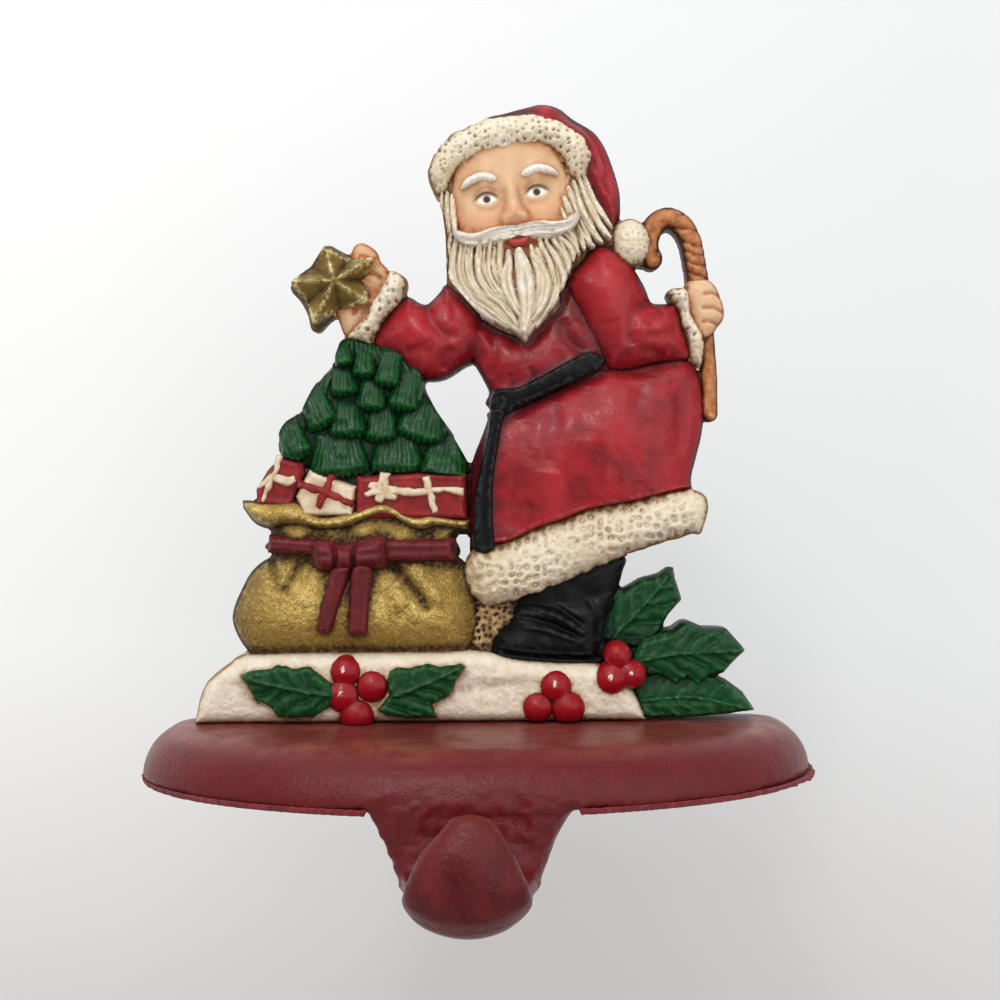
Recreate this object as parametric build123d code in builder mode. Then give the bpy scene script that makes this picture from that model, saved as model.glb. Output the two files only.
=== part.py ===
"""A painted cast-iron stocking holder for a mantel shelf.

A half-oval base rests on the shelf with a hook hanging in front of its edge. A relief casting of an
old gift-bringer with a sack, a tree and a cane stands along the back of the base, held by two screws
from below. A felt pad covers the underside.

All sizes are in millimetres. +Z is up, the front faces -Y, and the origin is the middle of the felt's
underside, where the holder rests on the shelf.
"""
from build123d import *
import os
from math import copysign, cos, hypot, pi, radians, sin

# Base casting
BASE_WIDTH = 150.0
BASE_DEPTH = 57.0
BASE_THICKNESS = 11.0
BASE_SIDE = 6.0             # straight run of each end before the half oval starts
BASE_TOP_RADIUS = 10.6

# Felt pad
FELT_THICKNESS = 1.0
FELT_PROUD = 0.3            # how far the felt shows past the iron at the ends and front
FELT_NOTCH_CLEARANCE = 0.5  # gap round the hook where the felt is cut away

# Hook
HOOK_THICKNESS = 9.2
HOOK_SETBACK = 0.6          # tongue's front face behind the front of the base
HOOK_DROP = 20.1            # lowest point below the iron's underside
HOOK_REACH = 27.0           # middle of the tongue to the middle of the upturned tip
HOOK_TIP_RISE = 4.0         # top of the tip above the iron's underside
HOOK_BEND_RADIUS = 7.5      # at the middle of the metal
HOOK_ROOT = 3.0             # how far the hook's root reaches up into the base
HOOK_ROOT_WIDTH = 46.0
HOOK_COLLAR_WIDTH = 41.0    # at the iron's underside
HOOK_SHOULDER = 3.0         # from the iron's underside to the shoulder
HOOK_SHOULDER_WIDTH = 36.5
HOOK_NECK_WIDTH = 32.0      # where the tongue starts to bend
HOOK_BEND_WIDTH = 28.5      # halfway round the first bend
HOOK_FLOOR_WIDTH = 24.0
HOOK_FLOOR_THICKNESS = 10.4
HOOK_TURN_WIDTH = 23.0      # halfway round the second bend
HOOK_TIP_WIDTH = 21.0       # where the tip starts to rise
HOOK_TAPER_WIDTH = 16.0     # halfway up the tip
HOOK_TAPER_THICKNESS = 9.0
HOOK_NOSE_WIDTH = 7.0
HOOK_NOSE_THICKNESS = 4.0
HOOK_SECTION_POINTS = 12
HOOK_STEPS = 18             # sections lofted along the hook
HOOK_FLATNESS = 3.2         # how square the tongue's section is: 2 is an oval
HOOK_OVAL = 2.0             # the same for the floor and the tip

# Fixing screws
SCREW_SPACING = 66.0
SCREW_MIDDLE = -11.0        # halfway between the screws, under the middle of the snow mound
SCREW_DIAMETER = 5.0
SCREW_LENGTH = 14.0         # under the head
SCREW_HEAD_DIAMETER = 9.0
SCREW_HEAD_HEIGHT = 3.4
SCREW_SLOT_WIDTH = 1.2
SCREW_SLOT_DEPTH = 1.6
SCREW_CLEARANCE = 0.25      # round the shank in the base
SCREW_HEAD_CLEARANCE = 0.6  # round the head, and between the head and the felt
THREAD_CLEARANCE = 0.05     # round the shank in the figure's tapped holes
THREAD_END_GAP = 2.0        # left in the hole beyond the screw's end

# Figure: depths are measured from its flat back towards the front
FIGURE_HEIGHT = 140.0       # top of the base to the top of the hat
PLATE_DEPTH = 5.0
FORM_FOOT = 3.0             # every raised form starts this deep, inside the plate
PLATE_RIM = 0.6             # how far the plate shows round the forms
MOUND_DEPTH = 14.0
MOUND_RADIUS = 3.0
SACK_CROWN = 15.0
SACK_NECK_CROWN = 11.0
RIM_MIDDLE = 8.5
RIM_RADIUS = 2.6
BAND_CROWN = 13.0
BOW_CROWN = 16.5
PRESENT_CROWN = 11.0
PRESENT_RIBBON_CROWN = 11.8
TREE_CROWN = 8.5
TUFT_MIDDLE = 7.5
SLEEVE_CROWN = 11.5
NEAR_SLEEVE_CROWN = 13.5
CUFF_MIDDLE = 7.5
HAND_CROWN = 9.0
CHEST_CROWN = 10.0
SKIRT_CROWN = 14.0
BELT_CROWN = 12.0
SASH_CROWN = 10.0
HEM_MIDDLE = 7.5
BOOT_CROWN = 12.5
LEG_CROWN = 8.0
ROCK_CROWN = 9.0
HEAD_CROWN = 10.5
FACE_CROWN = 12.0
BEARD_CROWN = 12.8
HAT_CROWN = 9.0
HAT_BAND_MIDDLE = 8.0
HAT_BAND_RADIUS = 3.7
POMPOM_CROWN = 10.2
CANE_MIDDLE = 4.6
CROOK_RADIUS = 2.4
CANE_RADIUS = 2.1
STAR_EDGE = 7.5
STAR_CROWN = 11.5
LEAF_FOOT = 12.5
LEAF_CROWN = 15.5
SIDE_LEAF_CROWNS = (8.0, 10.5, 14.5)
LEAF_TAPER = 14.0
PRESENT_TAPER = 10.0
BERRY_MIDDLE = 13.5
BERRY_FOOT = 7.0

# The figure is drawn on a grid of 100 squares from the top of the base to the top of the hat.
# Points are (squares right of the middle, squares above the base).
SQUARE = FIGURE_HEIGHT / 100

MOUND = [(-45, 0), (-44.2, 4.5), (-42, 7.8), (-37, 10.9), (-20, 11.2), (0, 11), (12, 9.6), (21, 9.4), (25.5, 5),
         (27.3, 0)]
SACK = [(-32, 27), (-36, 24), (-38.4, 19.5), (-38.8, 15.5), (-36.6, 11), (-28, 9.8), (-10, 9.8), (-1.5, 10.6),
        (0.3, 15), (-0.2, 22), (-3, 26.8), (-17, 28.2)]
SACK_NECK = [(-33, 30), (-34, 33), (-27, 33.5), (-14, 34.5), (-1, 33), (-2, 28), (-17, 25.5), (-31, 26.5)]
SACK_RIM = [(-36.2, 33.8), (-30, 34), (-24, 31), (-15, 34.4), (-9, 31), (-5.5, 32.6), (-1, 31.4)]
SACK_RIM_BENDS = [9, 5, 6, 4, 2.5]
BAND_LEFT = [(-33, 30.1), (-25, 29.3), (-25, 26.8), (-32.2, 27.3)]
BAND_RIGHT = [(-15.5, 29.9), (-3, 29.1), (-3, 25.3), (-15.5, 25.3)]
BOW = [(-25.8, 29), (-20.8, 28.7), (-15.2, 29.7), (-14.5, 27), (-15.2, 24.9), (-20.5, 24.1), (-25, 24.5), (-26, 26.5)]
BOW_TAILS = [[(-19.8, 24.6), (-20.6, 20.5), (-22.4, 14.7), (-24.8, 15), (-24.4, 19.5), (-22.8, 24.6)],
             [(-16, 24.8), (-16.3, 20), (-17, 14), (-20.1, 14.4), (-19.8, 20), (-19.2, 24.8)]]
PRESENTS = [[(-31.7, 42.2), (-33.6, 40), (-35, 37.2), (-34.5, 34.5), (-29, 34), (-27.5, 38), (-27.6, 41.8)],
            [(-26.2, 40.6), (-18.9, 37.8), (-20, 33), (-28, 33), (-28.5, 36.3)],
            [(-17.6, 39.6), (-1.4, 39.6), (-1.2, 33), (-17.4, 33)]]
PRESENT_RIBBONS = [[(-33.2, 36), (-31.4, 41.6), (-30.3, 41.4), (-32.3, 35.7)],
                   [(-28, 39), (-19.2, 35.8), (-19.6, 34.7), (-28.3, 37.9)],
                   [(-23.4, 39.4), (-22.3, 39.2), (-24.8, 34.3), (-25.9, 34.6)],
                   [(-17.4, 37.7), (-1.6, 37.7), (-1.6, 36.5), (-17.4, 36.5)],
                   [(-15, 39.5), (-13.8, 39.5), (-13.8, 33.5), (-15, 33.5)],
                   [(-7.4, 39.4), (-6.3, 39.4), (-5.9, 33.5), (-7, 33.5)]]
TREE = [(-20.6, 62), (-22, 58.5), (-25.6, 54), (-27.6, 50.2), (-30.9, 46.8), (-31.2, 43.3), (-26, 40.8),
        (-18.5, 39), (-8, 39.6), (-1.2, 39.8), (-1.4, 43), (-3.8, 46.6), (-7.4, 51.3), (-9.5, 57), (-15, 61)]
# Each tuft of the tree: middle, half width, half length and lean in degrees
TUFTS = [(-20.4, 59.6, 1.4, 2.2, -12), (-17.4, 58.6, 2.0, 2.8, 0), (-13, 57, 1.9, 2.9, 10),
         (-21, 55.6, 2.1, 3.0, -10), (-16.8, 53.6, 2.2, 2.9, 4), (-11.4, 52.6, 2.1, 3.0, 12),
         (-25, 51, 2.3, 3.4, -25), (-20, 49.4, 2.6, 3.6, 0), (-13.8, 49, 2.4, 3.2, 2), (-8.2, 48.8, 2.5, 3.4, 25),
         (-29, 46, 2.3, 3.6, -22), (-23, 44, 2.8, 3.4, -8), (-17.8, 43, 2.1, 3.6, 0), (-12.6, 43.4, 2.8, 3.0, 0),
         (-5.6, 42.8, 2.8, 3.2, 15)]
FAR_SLEEVE = [(-10.8, 68.4), (-7.8, 67.2), (-4.6, 70), (-1.2, 67.6), (1.6, 63), (0, 58.2), (-4, 55.9), (-7.6, 55.5),
              (-11, 57.6), (-15.8, 60.9), (-15, 64)]
FAR_CUFF = [(-12.6, 70.3), (-17.6, 62.8)]
FAR_CUFF_RADII = (2.2, 2.2)
FAR_HAND = [(-18.9, 76.6), (-17.8, 77), (-15.6, 75.4), (-13.8, 71.5), (-18, 64), (-20.6, 63.2), (-21.6, 66),
            (-20.5, 72)]
STAR_MIDDLE = (-22.4, 70.8)
STAR_TIPS = [(-23.5, 76.7), (-15.8, 74.5), (-16.4, 67.4), (-25.4, 63.7), (-29.2, 70.4)]
STAR_NOTCHES = [(-20, 74.8), (-17.8, 71), (-21.4, 66.8), (-26.2, 67.6), (-25.6, 72.6)]
CHEST = [(-2, 66), (8, 63), (16, 68), (22, 60), (20, 56), (12, 53.4), (3, 51.5), (2.9, 53.6), (0.8, 58)]
NEAR_SLEEVE = [(15.3, 70.5), (16.8, 73.4), (19.6, 75.9), (22.2, 75.6), (25.8, 72), (28, 67.6), (32.8, 66.4),
               (34.4, 61), (34.8, 57.9), (29, 57.5), (24, 56.3), (21, 58), (18.4, 63.4)]
NEAR_CUFF = [(33, 67.6), (36, 59)]
NEAR_CUFF_RADII = (1.7, 1.7)
NEAR_HAND = [(35, 70.4), (38, 70.5), (40.2, 67.6), (40.4, 65.2), (38.8, 62.3), (36.8, 62), (35.4, 66)]
SKIRT = [(2.2, 49), (6, 50), (14, 53.4), (21, 56), (27, 56.3), (33.4, 57.2), (36, 55), (36.7, 49), (36, 43), (34.6, 37.5),
         (34, 32), (18, 26.5), (2, 22.5), (-0.4, 29), (-0.4, 37), (0.8, 44)]
BELT = [(3.6, 53), (7, 53.5), (13, 56.5), (18.4, 59.1), (20.8, 58.6), (20.9, 57), (14, 53.5), (7, 50.3), (4, 49.8)]
SASH = [(4.2, 50.4), (2, 45.6), (0.9, 39), (0.5, 28.6), (2.9, 28.6), (3, 38), (4, 45.4), (6.4, 50.2)]
HEM = [(3.6, 23.2), (33.8, 33.2)]
HEM_RADII = (4.7, 3.7)
BOOT = [(2.9, 10), (3.2, 13), (6.8, 16), (7.2, 19.6), (13, 21.4), (20, 20.6), (21, 16), (20.2, 9.4), (16, 8.6), (9, 9.3)]
LEG = [(7.5, 18), (8, 21.5), (16, 24), (23.6, 25.6), (22.8, 21), (20, 18)]
ROCK = [(-0.5, 11), (-0.2, 16), (0.6, 19.5), (6, 20), (8, 16), (5, 10)]
HEAD = [(-4.6, 84.5), (-3.9, 78), (-3.8, 71.5), (-1.2, 67.8), (2.4, 64.8), (6, 62.9), (8.4, 60.7), (10.8, 63.4),
        (13.4, 66.3), (15, 71), (18.8, 75.6), (22, 77.2), (21.4, 80.6), (18.6, 86.5), (12, 92), (4, 92), (-2, 89.4)]
FACE = [(-3, 84.4), (-1.6, 89), (4, 92), (10.5, 92.4), (14.8, 90), (16.4, 84.6), (15.6, 80.4), (7, 78.2), (-1.4, 77.8)]
BEARD = [(-3.2, 76.4), (-3, 71.6), (0.4, 67.2), (5, 63.8), (8.4, 61.6), (11, 64.8), (13.2, 68.6), (15.4, 73),
         (18.4, 77), (14, 78.6), (6, 77.6)]
# Nose, brows and moustache halves: middle, half width, half length, lean and crown
FACE_FORMS = [(6.2, 82.2, 1.7, 2.0, 0, 14.2), (1.6, 87.8, 0.9, 2.8, 82, 13.0), (10.6, 89, 0.9, 2.8, -66, 13.0),
              (1, 77.8, 1.4, 5.0, 74, 14.0), (11.8, 79.3, 1.4, 5.0, -74, 14.0)]
HAT = [(-0.5, 95), (2.6, 97.3), (8, 98.8), (12, 99.6), (16.6, 96.9), (20.6, 93.7), (22.9, 88), (23.6, 83.4), (22.6, 80.2),
       (20, 83.4), (18, 88), (12, 93), (5, 94)]
HAT_BAND = [(-4.6, 86.6), (-1.8, 92.2), (6.5, 95), (16.8, 88.8)]
POMPOM = (25.8, 77.1)
POMPOM_RADIUS = 3.4
CROOK_TOP = (36.2, 76)
CROOK_FOOT = (36.8, 68)
CROOK_TURN = (29.7, 77)
CROOK_END = (30.3, 74.2)
CANE = [(38.7, 64), (38.4, 49.6)]
LEAVES = [[(-38, 7.2), (-35, 7.9), (-32.2, 8.6), (-29.6, 8), (-27.4, 8.4), (-23, 5.8), (-23, 2.2), (-26.6, 0.4),
           (-32.2, 0.6), (-33.4, 2), (-36.1, 3.2)],
          [(-15, 5.4), (-12.8, 8.2), (-10.8, 8), (-7.8, 8.7), (-5.6, 8.2), (-2.1, 8.6), (-3.6, 5.8), (-4.8, 3.6),
           (-7.2, 2.4), (-6.8, 0.3), (-11, 0.3), (-16, 1.4)]]
SIDE_LEAVES = [[(20, 12), (20.5, 19.5), (24.2, 20.6), (27.2, 22.3), (32, 24), (32.4, 21.4), (33.3, 19), (30.3, 15.4),
                (29, 10)],
               [(24, 8), (26, 13.6), (30.4, 14.2), (34, 15.3), (37, 14.3), (40.3, 14.2), (43, 10.9), (39.8, 7.4), (33, 5)],
               [(25.5, 4.4), (27.5, 8), (32.5, 6.6), (36, 6.4), (40.2, 6.6), (44.4, 1.8), (40, 0.9), (27.4, 0.6)]]
# Each berry: middle and radius
BERRIES = [(-20.8, 8, 2.3), (-16.8, 5.4, 2.1), (-21.5, 3.9, 2.3), (-19.6, 0.8, 2.4), (12.9, 4.7, 2.4), (9.8, 1.5, 2.0),
           (15.6, 1.5, 2.1), (23.2, 10.5, 2.1), (22.3, 6.2, 2.3), (25.9, 6.9, 1.9)]
# Shape of a domed form: share of its rise, and size of its outline there
DOME = [(0.0, 1.0), (0.62, 0.93), (1.0, 0.6)]
OUTLINE_STEPS = 2           # points on a smooth outline for each one given
LOBE_POINTS = 8             # corners of a small oval form
# Section of a bar: depth from its middle and half width, both as shares of its radius
BAR_SHAPE = [(-1.0, 1.0), (0.3, 1.0), (1.0, 0.45)]
BAR_END = 0.7               # corner of a bar's blunt end: along and across, as a share of its radius
CROOK_STEPS = 16            # sides of each bar along its line
RIM_STEPS = 30
BAND_STEPS = 14

# Places worked out from the sizes above
UNDERSIDE = FELT_THICKNESS
SEAT = FELT_THICKNESS + BASE_THICKNESS
BACK = BASE_DEPTH / 2
SCREW_Y = BACK - MOUND_DEPTH / 2
HEAD_SEAT = UNDERSIDE + SCREW_HEAD_HEIGHT + SCREW_HEAD_CLEARANCE
TONGUE_Y = -BASE_DEPTH / 2 + HOOK_SETBACK + HOOK_THICKNESS / 2
SCREW_PLACES = [(SCREW_MIDDLE + side * SCREW_SPACING / 2, SCREW_Y, UNDERSIDE) for side in (-1, 1)]
THREAD_DEPTH = HEAD_SEAT + SCREW_LENGTH - SEAT + THREAD_END_GAP
DRAWING = Plane(origin=(0, BACK, SEAT), x_dir=(1, 0, 0), z_dir=(0, -1, 0))
UPWARD = (Align.CENTER, Align.CENTER, Align.MIN)
DOWNWARD = (Align.CENTER, Align.CENTER, Align.MAX)

# Outlines that together make the figure's flat back plate
ROUND_OUTLINES = [SACK, SACK_NECK, TREE, CHEST, FAR_SLEEVE, NEAR_SLEEVE, SKIRT, BOOT, ROCK, FAR_HAND, NEAR_HAND,
                  HEAD, FACE, HAT]
STRAIGHT_OUTLINES = PRESENTS + SIDE_LEAVES + [LEG, BAND_LEFT]


def plan(width, depth):
    """The half-oval seen from above, its straight back edge kept on the figure's back."""
    front = BACK - depth
    half = width / 2
    with BuildSketch() as shape:
        with BuildLine():
            Polyline((-half, BACK - BASE_SIDE), (-half, BACK), (half, BACK), (half, BACK - BASE_SIDE))
            EllipticalCenterArc((0, BACK - BASE_SIDE), half, BACK - BASE_SIDE - front, 180, arc_size=180)
        make_face()
    return shape.sketch


def hook_section(plane, width, thickness, squareness):
    """The metal's rounded section, between an oval and a rectangle."""
    points = []
    for step in range(HOOK_SECTION_POINTS):
        angle = 2 * pi * step / HOOK_SECTION_POINTS
        across = copysign(abs(cos(angle)) ** (2 / squareness), cos(angle))
        along = copysign(abs(sin(angle)) ** (2 / squareness), sin(angle))
        points.append((across * width / 2, along * thickness / 2))
    with BuildSketch(plane) as section:
        with BuildLine():
            Spline(*points, periodic=True)
        make_face()
    return section.sketch


def squares(points):
    """Points of the drawing, in millimetres."""
    return [(x * SQUARE, z * SQUARE) for x, z in points]


def smoothed(points):
    """An outline's points in millimetres, with more between them on a smooth closed line."""
    with BuildLine() as line:
        Spline(*squares(points), periodic=True)
    steps = OUTLINE_STEPS * len(points)
    places = [line.edge() @ (step / steps) for step in range(steps)]
    return [(place.X, place.Y) for place in places]


def drawn_in(outline, share):
    """An outline made smaller about its middle."""
    middle_x = sum(x for x, z in outline) / len(outline)
    middle_z = sum(z for x, z in outline) / len(outline)
    return [(middle_x + share * (x - middle_x), middle_z + share * (z - middle_z)) for x, z in outline]


def grown(outline, margin):
    """An outline made larger by a margin all round."""
    middle_x = sum(x for x, z in outline) / len(outline)
    middle_z = sum(z for x, z in outline) / len(outline)
    wider = []
    for x, z in outline:
        reach = hypot(x - middle_x, z - middle_z)
        share = (reach + margin) / reach
        wider.append((middle_x + share * (x - middle_x), middle_z + share * (z - middle_z)))
    return wider


def outline_face(outline, depth):
    """The flat face inside an outline, at a depth."""
    with BuildSketch(DRAWING.offset(depth)) as face:
        with BuildLine():
            Polyline(*outline, close=True)
        make_face()
    return face.sketch


def dome(outline, crown, foot):
    """A domed form inside an outline."""
    rise = crown - foot
    layers = [outline_face(drawn_in(outline, share), foot + part * rise) for part, share in DOME]
    loft(layers, ruled=True)


def cushion(points, crown):
    """A domed form with a smooth outline that rises out of the plate."""
    dome(smoothed(points), crown, FORM_FOOT)


def slab(points, crown, taper=0.0, foot=FORM_FOOT):
    """A flat-topped form with straight sides."""
    extrude(outline_face(squares(points), foot), amount=crown - foot, taper=taper)


def lobe(x, z, half_width, half_length, lean, crown, foot=FORM_FOOT):
    """A small oval domed form, its long axis leaning from upright, clockwise as seen."""
    turn = radians(lean)
    points = []
    for step in range(LOBE_POINTS):
        angle = 2 * pi * step / LOBE_POINTS
        across = half_width * cos(angle)
        along = half_length * sin(angle)
        points.append((x + across * cos(turn) + along * sin(turn), z - across * sin(turn) + along * cos(turn)))
    dome(squares(points), crown, foot)


def bar(line, radii, middle, steps):
    """A bar along a line of the drawing, from one radius to another, with sloping shoulders and blunt ends."""
    start_radius, end_radius = radii
    runs = [step / steps for step in range(steps + 1)]
    places = [(line @ run, line % run, start_radius + run * (end_radius - start_radius)) for run in runs]
    first, first_way, _ = places[0]
    last, last_way, _ = places[-1]
    places = [(first - first_way * BAR_END * start_radius, first_way, BAR_END * start_radius)] + places
    places.append((last + last_way * BAR_END * end_radius, last_way, BAR_END * end_radius))
    rise = (start_radius + end_radius) / 2
    layers = []
    for depth, share in BAR_SHAPE:
        left = [place + way.rotate(Axis.Z, 90) * share * radius for place, way, radius in places]
        right = [place - way.rotate(Axis.Z, 90) * share * radius for place, way, radius in places]
        outline = [(point.X, point.Y) for point in left + right[::-1]]
        layers.append(outline_face(outline, middle + depth * rise))
    loft(layers, ruled=True)


def straight_bar(ends, radii, middle):
    """A bar between two points of the drawing, its radii in squares."""
    with BuildLine() as line:
        Line(*squares(ends))
    bar(line.wire(), [radius * SQUARE for radius in radii], middle, 1)


def at_square(x, z, depth):
    """A place in the relief, as a point of the object's own frame."""
    return DRAWING.offset(depth).from_local_coords((x * SQUARE, z * SQUARE, 0))


def hook_size(run):
    """Width, thickness and squareness of the hook's metal at a share of its run."""
    for (start, *first), (end, *second) in zip(hook_stations, hook_stations[1:]):
        if run <= end:
            share = (run - start) / (end - start)
            break
    return [one + share * (two - one) for one, two in zip(first, second)]


# Base casting with its hook
hook_floor = UNDERSIDE - HOOK_DROP + HOOK_FLOOR_THICKNESS / 2
hook_bend = hook_floor + HOOK_BEND_RADIUS
tip_y = TONGUE_Y - HOOK_REACH
with BuildLine(Plane.YZ) as hook_line:
    Line((TONGUE_Y, UNDERSIDE + HOOK_ROOT), (TONGUE_Y, hook_bend))
    CenterArc((TONGUE_Y - HOOK_BEND_RADIUS, hook_bend), HOOK_BEND_RADIUS, 0, -90)
    Line((TONGUE_Y - HOOK_BEND_RADIUS, hook_floor), (tip_y + HOOK_BEND_RADIUS, hook_floor))
    CenterArc((tip_y + HOOK_BEND_RADIUS, hook_bend), HOOK_BEND_RADIUS, 270, -90)
    Line((tip_y, hook_bend), (tip_y, UNDERSIDE + HOOK_TIP_RISE))

# Width, thickness and squareness of the metal along the hook, from its root to its nose
hook_run = hook_line.wire()
collar_run = HOOK_ROOT / hook_run.length
shoulder_run = (HOOK_ROOT + HOOK_SHOULDER) / hook_run.length
bend_run = (UNDERSIDE + HOOK_ROOT - hook_bend) / hook_run.length
quarter_run = HOOK_BEND_RADIUS * pi / 2 / hook_run.length
tip_run = 1 - (UNDERSIDE + HOOK_TIP_RISE - hook_bend) / hook_run.length
hook_stations = [(0.0, HOOK_ROOT_WIDTH, HOOK_THICKNESS, HOOK_FLATNESS),
                 (collar_run, HOOK_COLLAR_WIDTH, HOOK_THICKNESS, HOOK_FLATNESS),
                 (shoulder_run, HOOK_SHOULDER_WIDTH, HOOK_THICKNESS, HOOK_FLATNESS),
                 (bend_run, HOOK_NECK_WIDTH, HOOK_THICKNESS, HOOK_FLATNESS),
                 (bend_run + quarter_run / 2, HOOK_BEND_WIDTH, HOOK_THICKNESS, HOOK_OVAL),
                 ((bend_run + tip_run) / 2, HOOK_FLOOR_WIDTH, HOOK_FLOOR_THICKNESS, HOOK_OVAL),
                 (tip_run - quarter_run / 2, HOOK_TURN_WIDTH, HOOK_FLOOR_THICKNESS, HOOK_OVAL),
                 (tip_run, HOOK_TIP_WIDTH, HOOK_FLOOR_THICKNESS, HOOK_OVAL),
                 ((tip_run + 1) / 2, HOOK_TAPER_WIDTH, HOOK_TAPER_THICKNESS, HOOK_OVAL),
                 (1.0, HOOK_NOSE_WIDTH, HOOK_NOSE_THICKNESS, HOOK_OVAL)]

with BuildPart() as base:
    extrude(Plane.XY.offset(UNDERSIDE) * plan(BASE_WIDTH, BASE_DEPTH), amount=BASE_THICKNESS)
    top_edges = base.faces().sort_by(Axis.Z)[-1].edges()
    fillet(top_edges.sort_by(Axis.Y)[:-1], BASE_TOP_RADIUS)
    sections = []
    for step in range(HOOK_STEPS + 1):
        run = step / HOOK_STEPS
        across = Plane(origin=hook_run @ run, x_dir=(1, 0, 0), z_dir=hook_run % run)
        sections.append(hook_section(across, *hook_size(run)))
    loft(sections, ruled=True)
    with Locations(*SCREW_PLACES):
        Cylinder(SCREW_DIAMETER / 2 + SCREW_CLEARANCE, BASE_THICKNESS, align=UPWARD, mode=Mode.SUBTRACT)
        Cylinder(SCREW_HEAD_DIAMETER / 2 + SCREW_HEAD_CLEARANCE, HEAD_SEAT - UNDERSIDE, align=UPWARD,
                 mode=Mode.SUBTRACT)
base.part.label = "base_with_hook"

# Felt pad under the base, cut away behind the hook
with BuildPart() as felt:
    extrude(plan(BASE_WIDTH + 2 * FELT_PROUD, BASE_DEPTH + FELT_PROUD), amount=FELT_THICKNESS)
    notch_back = TONGUE_Y + HOOK_THICKNESS / 2 + FELT_NOTCH_CLEARANCE
    with BuildSketch() as notch:
        with Locations((0, notch_back)):
            Rectangle(HOOK_COLLAR_WIDTH + 2 * FELT_NOTCH_CLEARANCE, BASE_DEPTH, align=(Align.CENTER, Align.MAX))
    extrude(notch.sketch, amount=FELT_THICKNESS, mode=Mode.SUBTRACT)
felt.part.label = "felt_pad"

# Two screws that hold the figure from below
with BuildPart() as screws:
    with Locations(*[(x, y, HEAD_SEAT) for x, y, z in SCREW_PLACES]):
        Cylinder(SCREW_DIAMETER / 2, SCREW_LENGTH, align=UPWARD)
        Cylinder(SCREW_HEAD_DIAMETER / 2, SCREW_HEAD_HEIGHT, align=DOWNWARD)
    with Locations(*[(x, y, HEAD_SEAT - SCREW_HEAD_HEIGHT) for x, y, z in SCREW_PLACES]):
        Box(SCREW_HEAD_DIAMETER, SCREW_SLOT_WIDTH, SCREW_SLOT_DEPTH, align=UPWARD, mode=Mode.SUBTRACT)
screws.part.label = "fixing_screws"

# Lines that the sack's rolled rim, the hat's fur band and the cane's crook follow
with BuildLine() as sack_rim:
    FilletPolyline(*squares(SACK_RIM), radius=[bend * SQUARE for bend in SACK_RIM_BENDS])
with BuildLine() as hat_band:
    left = ThreePointArc(*squares(HAT_BAND[:3]))
    TangentArc(left @ 1, *squares(HAT_BAND[-1:]), tangent=left % 1)
with BuildLine() as crook_line:
    stem = Line(*squares([CROOK_FOOT, CROOK_TOP]))
    turn = TangentArc(stem @ 1, *squares([CROOK_TURN]), tangent=stem % 1)
    TangentArc(turn @ 1, *squares([CROOK_END]), tangent=turn % 1)

# Relief figure, cast in one piece: its groups are modelled one by one and then joined to the plate
with BuildPart() as ground:
    with BuildSketch(DRAWING) as mound:
        with BuildLine():
            snow = Spline(*squares(MOUND))
            Line(snow @ 1, snow @ 0)
        make_face()
    extrude(mound.sketch, amount=MOUND_DEPTH)
    front_edges = ground.faces().sort_by(Axis.Y)[0].edges()
    fillet(front_edges.sort_by(Axis.Z)[-1], MOUND_RADIUS)
    for points in LEAVES:
        slab(points, LEAF_CROWN, LEAF_TAPER, LEAF_FOOT)
    for points, crown in zip(SIDE_LEAVES, SIDE_LEAF_CROWNS):
        slab(points, crown, LEAF_TAPER)
    for x, z, radius in BERRIES:
        lobe(x, z, radius, radius, 0, BERRY_MIDDLE + radius * SQUARE, BERRY_FOOT)

with BuildPart() as sack:
    cushion(SACK, SACK_CROWN)
    cushion(SACK_NECK, SACK_NECK_CROWN)
    for points in PRESENTS:
        slab(points, PRESENT_CROWN, PRESENT_TAPER)
    for points in PRESENT_RIBBONS:
        slab(points, PRESENT_RIBBON_CROWN)
    bar(sack_rim.wire(), (RIM_RADIUS, RIM_RADIUS), RIM_MIDDLE, RIM_STEPS)
    for points in (BAND_LEFT, BAND_RIGHT):
        slab(points, BAND_CROWN)
    cushion(BOW, BOW_CROWN)
    for points in BOW_TAILS:
        slab(points, BOW_CROWN)

with BuildPart() as tree:
    cushion(TREE, TREE_CROWN)
    for x, z, half_width, half_length, lean in TUFTS:
        lobe(x, z, half_width, half_length, lean, TUFT_MIDDLE + half_width * SQUARE)
    star = [point for pair in zip(STAR_TIPS, STAR_NOTCHES) for point in pair]
    slab(star, STAR_EDGE)
    loft([outline_face(squares(star), STAR_EDGE), Vertex(*at_square(*STAR_MIDDLE, STAR_CROWN))], ruled=True)

with BuildPart() as coat:
    cushion(CHEST, CHEST_CROWN)
    cushion(FAR_SLEEVE, SLEEVE_CROWN)
    cushion(SKIRT, SKIRT_CROWN)
    cushion(NEAR_SLEEVE, NEAR_SLEEVE_CROWN)
    slab(BELT, BELT_CROWN)
    slab(SASH, SASH_CROWN)
    straight_bar(HEM, HEM_RADII, HEM_MIDDLE)
    slab(LEG, LEG_CROWN)
    cushion(BOOT, BOOT_CROWN)
    cushion(ROCK, ROCK_CROWN)
    for points in (FAR_HAND, NEAR_HAND):
        cushion(points, HAND_CROWN)
    straight_bar(FAR_CUFF, FAR_CUFF_RADII, CUFF_MIDDLE)
    straight_bar(NEAR_CUFF, NEAR_CUFF_RADII, CUFF_MIDDLE)
    bar(crook_line.wire(), (CROOK_RADIUS, CROOK_RADIUS), CANE_MIDDLE, CROOK_STEPS)
    straight_bar(CANE, (CANE_RADIUS / SQUARE, CANE_RADIUS / SQUARE), CANE_MIDDLE)

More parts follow.
